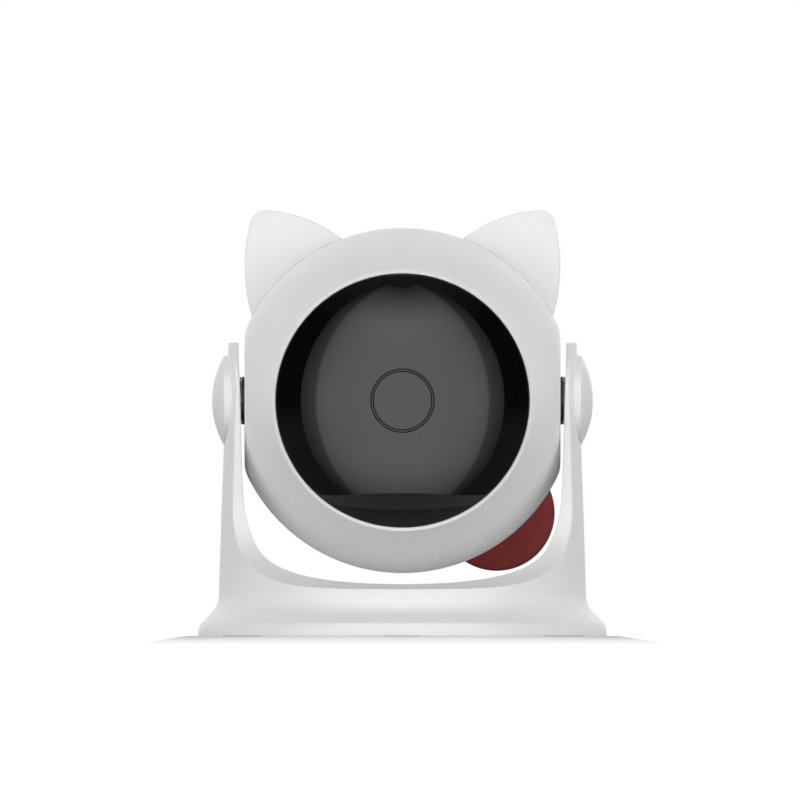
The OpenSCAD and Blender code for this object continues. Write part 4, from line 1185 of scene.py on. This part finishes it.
class TOY_OT_face(Piece):
    """Builds the domed lens, the ring and the power button"""

    bl_idname = "laser_toy.face"
    bl_label = "Lens and button"

    def execute(self, context):
        s = self.sizes.face
        opening_r = self.sizes.head.opening_r
        lens_r = math.hypot(opening_r, LIP_Y)
        ring_in = s.ring_r - s.ring_w
        self.lens(s, lens_r, opening_r - s.fit)
        self.ring(s, lens_r, ring_in)
        self.button(s, lens_r, ring_in - s.ring_gap)
        return {"FINISHED"}

    def lens(self, s, lens_r, edge_r):
        """Dome with a hole for the ring, up to its seat's radius edge_r."""
        in_r = lens_r - s.lens_t
        hole_r = s.ring_r + s.ring_gap
        seat_y = high("lens")[1]
        outer = ball_arc(lens_r, ball_front(lens_r, hole_r), LIP_Y, 72)
        inner = ball_arc(in_r, LIP_Y + s.lens_t, ball_front(in_r, hole_r), 36)
        outline = np.vstack([inner[-1:], outer, [(seat_y, edge_r), (seat_y, edge_r - s.lens_t)],
                             inner])
        outer_end = len(outer)
        outline[outer_end, 1] = edge_r
        cut = np.zeros(len(outline))
        cut[1] = cut[outer_end] = s.edge
        turned("face_lens", outline, cut, "head", "lens_smoke", "lens", 320)

    def ring(self, s, lens_r, ring_in):
        """Ring flush with the dome, with a flange that slopes away behind the outer gap."""
        y1, flange_r = high("button_ring")[1], radius("button_ring")
        front = ball_arc(lens_r, ball_front(lens_r, ring_in), ball_front(lens_r, s.ring_r), 3)
        step_y = y1 - s.ring_flange_t
        slope = s.ring_flange_t - s.ring_flange_end
        corners = np.vstack([[(y1, ring_in)], front, [
            (step_y + slope, s.ring_r), (step_y, s.ring_r + slope), (step_y, flange_r),
            (y1, flange_r), (y1, ring_in)]])
        cut = [0, s.edge, 0, 0, s.edge, 0, 0, 0, 0, 0]
        turned("face_ring", corners, cut, "head", "button_smoke", "button_ring")

    def button(self, s, lens_r, cap_r):
        """Cap flush with the dome, with a sloped flange behind the ring and a plunger."""
        flange_r, end_y = radius("power_button"), high("power_button")[1]
        top = ball_arc(lens_r, ball_front(lens_r, 1e-6), ball_front(lens_r, cap_r), 24)
        top[0, 1] = 0
        back = high("button_ring")[1] + s.fit
        flange_y = back + s.flange_t
        corners = np.vstack([top, [
            (back + 0.8 * s.flange_t, cap_r), (back, flange_r), (flange_y, flange_r),
            (flange_y, s.plunger_r), (end_y, s.plunger_r), (end_y, 0)]])
        cut = np.zeros(len(corners))
        cut[len(top) - 1] = s.edge
        turned("face_button", corners, cut, "button", "button_smoke", "power_button")


class TOY_OT_stand(Piece):
    """Builds the bell-shaped stand with its two arms"""

    bl_idname = "laser_toy.stand"
    bl_label = "Stand"

    def execute(self, context):
        s = self.sizes
        shape = StandShape(s.stand)
        knob_r = (high("side_knob_left") - low("side_knob_left"))[2] / 2 + s.stand.knob_gap
        crossing, turns = stand_quarter(shape, knob_r)
        seat = knob_seat(shape, knob_r)
        grids = quarters(crossing) + quarters(stand_foot(shape, turns, s.foot.gap))
        stand = solid("stand_body", grids)
        settle(stand, "stand", "stand_white", "stand_frame")
        seats = solid("knob_seats", [(seat, True), (seat * (-1, 1, 1), True)])
        settle(seats, "stand", "stand_white")
        return {"FINISHED"}


class TOY_OT_knobs(Piece):
    """Builds the side knobs and the pivots between head and arms"""

    bl_idname = "laser_toy.knobs"
    bl_label = "Knobs and pivots"

    def execute(self, context):
        s = self.sizes.stand
        for name, node, side in (("knob_left", "side_knob_left", -1),
                                 ("knob_right", "side_knob_right", 1)):
            knob_r = (high(node) - low(node))[2] / 2
            seat_x, top_x = sorted(np.abs([low(node)[0], high(node)[0]]))
            seat_x += s.knob_foot
            dome = dome_arc(knob_r, s.knob_dome, top_x, 40)
            corners = np.vstack([[(seat_x, 0), (seat_x, knob_r)], dome])
            outline = soften(corners, [0, FINE, s.knob_edge] + [0] * (len(dome) - 1))
            outline[:, 0] *= side
            knob = solid(name, [(lathe(outline, "X", HEAD_C, 224), True)])
            settle(knob, "stand", "stand_white", node)
        for name, side in (("pivot_collar_left", -1), ("pivot_collar_right", 1)):
            settle(self.collar(name, side), "head", "black_plastic")
        return {"FINISHED"}

    def collar(self, name, side):
        """Collar of a pivot: ribbed half rings with a thin key between two fine gaps on each
        side, around a plain core."""
        s = self.sizes.stand
        rib = s.collar_rib
        steps = np.array([0, 0.22, 0.22, 0.41, 0.41, 0.63, 0.63, 0.83, 0.83, 1])
        in_groove = np.array([0, 0, 1, 1, 0, 0, 1, 1, 0, 0])
        half_ring, key = (10.6, 180.9), (3.5, 8.0)
        x = FLAT_X + s.collar_w * steps
        r = s.collar_r - rib * in_groove
        start_x, in_r = FLAT_X - MM, s.collar_r - 4 * rib
        outline = np.vstack([[(start_x, in_r), (start_x, s.collar_r)], np.column_stack([x, r]),
                             [(x[-1], in_r), (start_x, in_r)]]) * (side, 1)
        core = np.array([(start_x, 0), (start_x, in_r), (x[-1], in_r), (x[-1], 0)]) * (side, 1)
        grids = [(lathe(core, "X", HEAD_C, 96), True)]
        for turn in (0, 180):
            for start, end in (half_ring, key):
                ring = lathe(outline, "X", HEAD_C, max(4, int((end - start) / 2.5)),
                             turn + start, end - start)
                centre = ring.mean(axis=1, keepdims=True)
                grids.append((np.concatenate([np.repeat(centre[:1], ring.shape[1], 1), ring,
                                              np.repeat(centre[-1:], ring.shape[1], 1)]), False))
        return solid(name, grids, 30)


class TOY_OT_foot(Piece):
    """Builds the base plate, its screws and the rubber feet"""

    bl_idname = "laser_toy.foot"
    bl_label = "Foot"

    def execute(self, context):
        s, screw_r = self.sizes.foot, self.sizes.back.screw_r
        z0, z1 = low("base_plate")[2], high("base_plate")[2]
        plate_r = high("base_plate")[0]
        outline = soften([(z0, 0), (z0, plate_r), (z1, plate_r), (z1, 0)],
                         [0, s.edge, FINE, 0])
        plate = solid("foot_plate", [(lathe(outline, "Z", steps=224), True)])
        pads = self.places(high("rubber_feet")[0] - s.pad_r, [0, 90, 180, 270])
        screws = self.places(s.screw_ring_r, [45, 135, 225, 315])
        pad_top = z0 + s.pad_sink
        cutters = [self.seat(s.pad_r + s.gap, pad_top, place, 64) for place in pads]
        cutters += [self.seat(s.screw_seat_r, z0 + s.screw_sink, place, 48) for place in screws]
        settle(carve(plate, cutters), "stand", "stand_white", "base_plate")

        groove_in = s.groove_r - s.groove_w
        pad = soften([(0, 0), (0, groove_in), (s.groove_t, groove_in + s.groove_slope),
                      (s.groove_t, s.groove_r - s.groove_slope), (0, s.groove_r), (0, s.pad_r),
                      (pad_top, s.pad_r), (pad_top, 0)],
                     [0, FINE, FINE, FINE, FINE, s.pad_edge, 0, 0])
        feet = solid("foot_pads", [(lathe(pad, "Z", place, 96), True) for place in pads])
        settle(feet, "stand", "rubber", "rubber_feet")
        seat = (0, 0, z0 + s.screw_sink - s.screw_rise)
        heads = [(screw_head(screw_r, s.screw_h, place + seat, "Z", -1, 0.5), True)
                 for place in screws]
        settle(solid("foot_screw_heads", heads, 30), "stand", "screw_steel", "base_screws")
        return {"FINISHED"}

    def places(self, ring_r, degrees):
        """Places on a circle about the stand's axis."""
        return [np.array([ring_r * math.cos(a), ring_r * math.sin(a), 0])
                for a in np.radians(degrees)]

    def seat(self, seat_r, top_z, place, steps):
        """Round cutter from below the floor up to a height."""
        outline = [(-PAST, 0), (-PAST, seat_r), (top_z, seat_r), (top_z, 0)]
        return solid("cutter", [(lathe(outline, "Z", place, steps), True)])


class TOY_OT_tag(Piece):
    """Builds the leather tag with its eyelet and rivet"""

    bl_idname = "laser_toy.tag"
    bl_label = "Tag"

    def execute(self, context):
        s = self.sizes.tag
        y0, y1 = low("tag")[1], high("tag")[1]
        hole = middle("tag_eyelet") * (1, 0, 1)
        disc = solid("tag_disc", [(self.disc(s, y0, y1), True)])
        carve(disc, [peg(s.hole_r, y0 - PAST, y1 + PAST, hole, 64)])
        settle(disc, "tag", "tag_leather", "tag")

        end_y, flange_r = high("tag_eyelet")[1], radius("tag_eyelet")
        eyelet = soften([(y0, s.eyelet_r), (y0, s.hole_r), (y1, s.hole_r), (y1, flange_r),
                         (end_y, flange_r), (end_y, s.eyelet_r), (y0, s.eyelet_r)],
                        [0, FINE, 0, 0, s.eyelet_edge, s.eyelet_mouth, 0])
        settle(solid("tag_eyelet_ring", [(lathe(eyelet, "Y", hole, 96), True)], 40),
               "tag", "screw_steel", "tag_eyelet")
        settle(solid("tag_rivet_dome", [(lathe(self.rivet(s), "Y", hole, 96), True)], 40),
               "head", "screw_steel", "tag_rivet")
        return {"FINISHED"}

    def disc(self, s, y0, y1):
        """Disc with a thinner edge. Slow waves, wave * sin(260 x + 0.6) * cos(210 z - 0.4),
        bend it about its centre, x and z in metres."""
        c = middle("tag") * (1, 0, 1)
        tag_r, wave = radius("tag"), s.wave
        edge_r = tag_r - s.edge_w
        flat = np.linspace(0, 1, 30)[:-1] * edge_r
        front = np.column_stack([np.full(len(flat), y0 + wave), flat])
        back = np.column_stack([np.full(len(flat), y1 - wave), flat[::-1]])
        corners = np.vstack([front, [(y0 + wave, edge_r), (y0 + 2 * wave, tag_r),
                                     (y1 - 2 * wave, tag_r), (y1 - wave, edge_r)], back])
        cut = np.zeros(len(corners))
        cut[len(flat) + 1] = cut[len(flat) + 2] = s.edge
        grid = lathe(soften(corners, cut), "Y", c, 256)
        x, z = grid[..., 0] - c[0], grid[..., 2] - c[2]
        grid[..., 1] += wave * np.sin(x * 260 + 0.6) * np.cos(z * 210 - 0.4)
        return grid

    def rivet(self, s):
        """Outline of the rivet: foot, shank and domed head."""
        y0, y1 = low("tag_rivet")[1], high("tag_rivet")[1]
        head_r = radius("tag_rivet")
        foot_y, head_y = y0 + s.rivet_foot_t, y1 - s.rivet_head_t
        dome = dome_arc(head_r, s.rivet_dome, y1, 16)
        corners = np.vstack([[(y0, 0), (y0, head_r), (foot_y, head_r), (foot_y, s.shank_r),
                              (head_y, s.shank_r), (head_y, head_r)], dome])
        return soften(corners, [0] * 5 + [FINE, s.rivet_edge] + [0] * (len(dome) - 1))


class TOY_OT_inner(Piece):
    """Gives every part that keeps its own mesh its finish"""

    bl_idname = "laser_toy.inner"
    bl_label = "Inner parts"

    def execute(self, context):
        for part in frame["record"]["subparts"]:
            node = frame["nodes"][part["node"]]
            if node.hide_render:
                continue
            node.data.materials.clear()
            node.data.materials.append(finish(part["material_slot"]))
        return {"FINISHED"}


# Studio


def panel_grid(radius, turns, heights, steps):
    """Part of a ball about the head: turns and heights in degrees, turn 0 straight ahead."""
    a = np.radians(np.linspace(*turns, steps[0]))[:, None]
    e = np.radians(np.linspace(*heights, steps[1]))[None, :]
    grid = np.stack([np.sin(a) * np.cos(e), -np.cos(a) * np.cos(e),
                     np.broadcast_to(np.sin(e), (steps[0], steps[1]))], -1)
    return grid * radius + HEAD_C


def open_sheet(name, grid):
    """Open sheet of a grid, for the studio."""
    mesh = bpy.data.meshes.new(name)
    rows, columns = grid.shape[:2]
    mesh.from_pydata(grid.reshape(-1, 3), [], grid_faces(rows, columns, False).tolist())
    mesh.polygons.foreach_set("use_smooth", np.ones(len(mesh.polygons), bool))
    obj = bpy.data.objects.new(name, mesh)
    bpy.context.scene.collection.objects.link(obj)
    return obj


def empty_tree(owner):
    """Emptied node tree of a material or world."""
    owner.use_nodes = True
    owner.node_tree.nodes.clear()
    return owner.node_tree


def way_from_head(tree):
    """Direction of the shaded point from the middle of the head, and its turn from straight
    ahead and its rise above the horizon."""
    where = add(tree, "ShaderNodeTexCoord").outputs["Object"]
    way = vector(tree, "NORMALIZE", vector(tree, "SUBTRACT", where, tuple(HEAD_C)))
    x, y, z = xyz_of(tree, way)
    turn = maths(tree, "ARCTAN2", maths(tree, "ABSOLUTE", x), maths(tree, "MULTIPLY", y, -1.0))
    return way, turn, maths(tree, "ARCSINE", z)


def glow_with(tree, strength):
    """Ends a material's tree in a white glow."""
    light = add(tree, "ShaderNodeEmission", {"Strength": strength})
    out = add(tree, "ShaderNodeOutputMaterial")
    tree.links.new(light.outputs[0], out.inputs[0])


def seen_by_eye(tree):
    """1 for rays from the camera and through or off the smooth pieces, 0 for lighting."""
    path = add(tree, "ShaderNodeLightPath").outputs
    seen = maths(tree, "MAXIMUM", path["Is Camera Ray"], path["Is Glossy Ray"])
    return maths(tree, "MAXIMUM", seen, path["Is Transmission Ray"])


def degrees(*angles):
    """Angles in radians."""
    return [math.radians(angle) for angle in angles]


def light_panel_material(strength):
    """Light panel: bright in its middle, dimmer from 50 degrees to each side, and fading out
    from 48 degrees above the horizon to its top. A ball about the same centre, such as the
    lens, shows it as an oval: at the place (x, z) of the ball's face the light is
    1 / (1 + 0.82 q^3) of that, with q = |x| / (0.82 - |z|), and it fades out towards the
    bottom."""
    material = bpy.data.materials.new("front_panel")
    tree = empty_tree(material)
    way, turn, rise = way_from_head(tree)
    shares = [
        ramp(tree, turn, degrees(50.0, 60.0), (1.0, 0.85)),
        ramp(tree, turn, degrees(58.5, 62.0), (1.0, 0.48), smooth=True),
        ramp(tree, turn, degrees(61.5, 72.5), (1.0, 0.5)),
        ramp(tree, rise, degrees(48.0, 86.0), (1.0, 0.08), smooth=True),
    ]
    to_camera = (0, -1, 0)
    place = vector(tree, "NORMALIZE", vector(tree, "ADD", way, to_camera))
    x, _, z = xyz_of(tree, place)
    shares.append(ramp(tree, z, (-0.8, -0.3), (0.0, 1.0), smooth=True))
    width = maths(tree, "SUBTRACT", 0.82, maths(tree, "ABSOLUTE", z))
    q = maths(tree, "DIVIDE", maths(tree, "ABSOLUTE", x), width)
    oval = maths(tree, "MULTIPLY_ADD", maths(tree, "POWER", q, 3.0), 0.82, 1.0)
    power = maths(tree, "DIVIDE", strength, oval)
    for share in shares:
        power = maths(tree, "MULTIPLY", power, share)
    glow_with(tree, power)
    return material


def card_material(glow):
    """Black card that keeps reflections dark, with a faint glow high up and below the
    horizon."""
    material = bpy.data.materials.new("card")
    tree = empty_tree(material)
    _, _, rise = way_from_head(tree)
    above = ramp(tree, rise, degrees(45.0, 75.0), (0.0, glow))
    below = ramp(tree, rise, degrees(-15.0, 0.0), (glow, 0.0))
    glow_with(tree, maths(tree, "ADD", above, below))
    return material


def floor_material():
    """Pale floor: white to the camera, with a soft contact shadow round the object, and dark
    to the light that it throws back at the object."""
    material = bpy.data.materials.new("pale_floor")
    tree = empty_tree(material)
    contact = add(tree, "ShaderNodeAmbientOcclusion", {"Distance": 28 * MM}, samples=16)
    open_sky = maths(tree, "POWER", contact.outputs["AO"], 4.0)
    white = maths(tree, "MULTIPLY", open_sky, seen_by_eye(tree))
    lift = add(tree, "ShaderNodeEmission", {"Strength": white})
    dim = add(tree, "ShaderNodeBsdfDiffuse", {"Color": (0.03, 0.03, 0.03, 1)})
    both = add(tree, "ShaderNodeAddShader")
    out = add(tree, "ShaderNodeOutputMaterial")
    tree.links.new(dim.outputs[0], both.inputs[0])
    tree.links.new(lift.outputs[0], both.inputs[1])
    tree.links.new(both.outputs[0], out.inputs[0])
    return material


def world_light(strength):
    """White background to the camera and in reflections. The object is lit by a sky of
    strength * ((1 - z)^2 * (0.64 + 1.2 x^6 - 0.36 max(y, 0)) + 0.35 h^6) for the direction
    (x, y, z), h being how far it points up and a little back: bright low down, more so to the
    sides, with a soft light over the top. Nothing comes from below the horizon."""
    world = bpy.data.worlds.new("studio")
    bpy.context.scene.world = world
    tree = empty_tree(world)
    way = add(tree, "ShaderNodeTexCoord").outputs["Generated"]
    x, y, z = xyz_of(tree, way)
    fall = maths(tree, "POWER", maths(tree, "SUBTRACT", 1.0, z), 2.0)
    side = maths(tree, "MULTIPLY_ADD", maths(tree, "POWER", x, 6.0), 1.2, 0.64)
    back = maths(tree, "MULTIPLY", maths(tree, "MAXIMUM", y, 0.0), 0.36)
    share = maths(tree, "MULTIPLY", maths(tree, "SUBTRACT", side, back), fall)
    up_and_back = (0.0, 0.5, 0.866)
    h = maths(tree, "MAXIMUM", vector(tree, "DOT_PRODUCT", way, up_and_back), 0.0)
    share = maths(tree, "MULTIPLY_ADD", maths(tree, "POWER", h, 6.0), 0.35, share)
    share = maths(tree, "MULTIPLY", share, maths(tree, "GREATER_THAN", z, 0.0))
    sky = maths(tree, "MULTIPLY", share, strength)
    lit = add(tree, "ShaderNodeBackground", {"Strength": sky})
    white = add(tree, "ShaderNodeBackground", {"Color": (1, 1, 1, 1), "Strength": 1.0})
    mix = add(tree, "ShaderNodeMixShader", {0: seen_by_eye(tree)})
    out = add(tree, "ShaderNodeOutputWorld")
    tree.links.new(lit.outputs[0], mix.inputs[1])
    tree.links.new(white.outputs[0], mix.inputs[2])
    tree.links.new(mix.outputs[0], out.inputs[0])


class TOY_OT_studio(Piece):
    """Builds the pale floor, the light panels and the camera"""

    bl_idname = "laser_toy.studio"
    bl_label = "Studio"

    def execute(self, context):
        s = self.sizes.studio
        scene = context.scene
        scene.view_settings.view_transform = "Standard"
        self.floor()
        self.panels(s)
        world_light(s.sky_light)
        camera = bpy.data.cameras.new("camera")
        camera.type = "ORTHO"
        camera.ortho_scale = PHOTO_PX * PX_SIZE
        camera.clip_end = 20.0
        holder = bpy.data.objects.new("camera", camera)
        scene.collection.objects.link(holder)
        centre_px = PHOTO_PX / 2
        holder.location = ((centre_px - OBJECT_MIDDLE_PX) * PX_SIZE, -s.camera_distance,
                           (OBJECT_FLOOR_PX - centre_px) * PX_SIZE)
        holder.rotation_euler = (math.pi / 2, 0, 0)
        scene.camera = holder
        return {"FINISHED"}

    def panels(self, s):
        """Light panel in front and black cards around it, which only reflections see."""
        side, low_end, top, behind = 72.5, -80, 82, 150
        light, black = light_panel_material(s.gloss_light), card_material(s.card_light)
        for name, turns, heights, steps, material in (
                ("front_panel", (-side, side), (low_end, top), (96, 64), light),
                ("card_left", (-behind, -side), (low_end, top), (48, 24), black),
                ("card_right", (side, behind), (low_end, top), (48, 24), black),
                ("card_back", (behind, 360 - behind), (low_end, -1), (48, 24), black),
                ("card_under", (-180, 180), (-90, low_end), (48, 24), black),
                ("card_top", (-180, 180), (top, 90), (48, 24), black)):
            sheet = open_sheet(name, panel_grid(s.tent_r, turns, heights, steps))
            sheet.data.materials.append(material)
            sheet.visible_camera = False
            sheet.visible_diffuse = False
            sheet.visible_shadow = False
            sheet.visible_transmission = False

    def floor(self):
        """Floor, level under the stand and falling away gently outside it, by
        slope * d^2 / (d + bend) at the distance d past the stand."""
        level_r, slope, bend, under_feet = 66 * MM, 0.2, 4 * MM, 0.02 * MM
        r = np.r_[0, np.linspace(30, 120, 46), np.geomspace(125, 4000, 50)] * MM
        d = np.maximum(r - level_r, 0)
        z = -slope * d**2 / (d + bend) - under_feet
        grid = lathe(np.column_stack([z, r]), "Z", steps=128, turn_deg=360.01)
        floor = open_sheet("floor", grid)
        floor.data.materials.append(floor_material())
        floor.visible_glossy = False


class TOY_PT_panel(bpy.types.Panel):
    """Lists the toy's pieces and settings"""

    bl_idname = "TOY_PT_panel"
    bl_label = "Laser toy"
    bl_space_type = "VIEW_3D"
    bl_region_type = "UI"
    bl_category = "Laser toy"

    def draw(self, context):
        for step in STEPS:
            self.layout.operator(step.bl_idname)
        toy = context.scene.laser_toy
        for part in toy.__annotations__:
            settings = getattr(toy, part)
            box = self.layout.box()
            box.label(text=part.capitalize())
            for name in settings.__annotations__:
                box.prop(settings, name)


SETTINGS = (HeadSizes, BackSizes, EarSizes, FaceSizes, StandSizes, FootSizes, TagSizes, Finishes,
            Studio, LaserToy)
STEPS = (TOY_OT_studio, TOY_OT_stand, TOY_OT_foot, TOY_OT_knobs, TOY_OT_head, TOY_OT_back,
         TOY_OT_ears, TOY_OT_face, TOY_OT_tag, TOY_OT_inner)


def register():
    for cls in (*SETTINGS, *STEPS, TOY_PT_panel):
        bpy.utils.register_class(cls)
    bpy.types.Scene.laser_toy = PointerProperty(type=LaserToy)


def unregister():
    del bpy.types.Scene.laser_toy
    for cls in reversed((*SETTINGS, *STEPS, TOY_PT_panel)):
        bpy.utils.unregister_class(cls)


def main():
    register()
    for step in STEPS:
        getattr(bpy.ops.laser_toy, step.bl_idname.split(".")[1])()


if __name__ == "__main__":
    main()
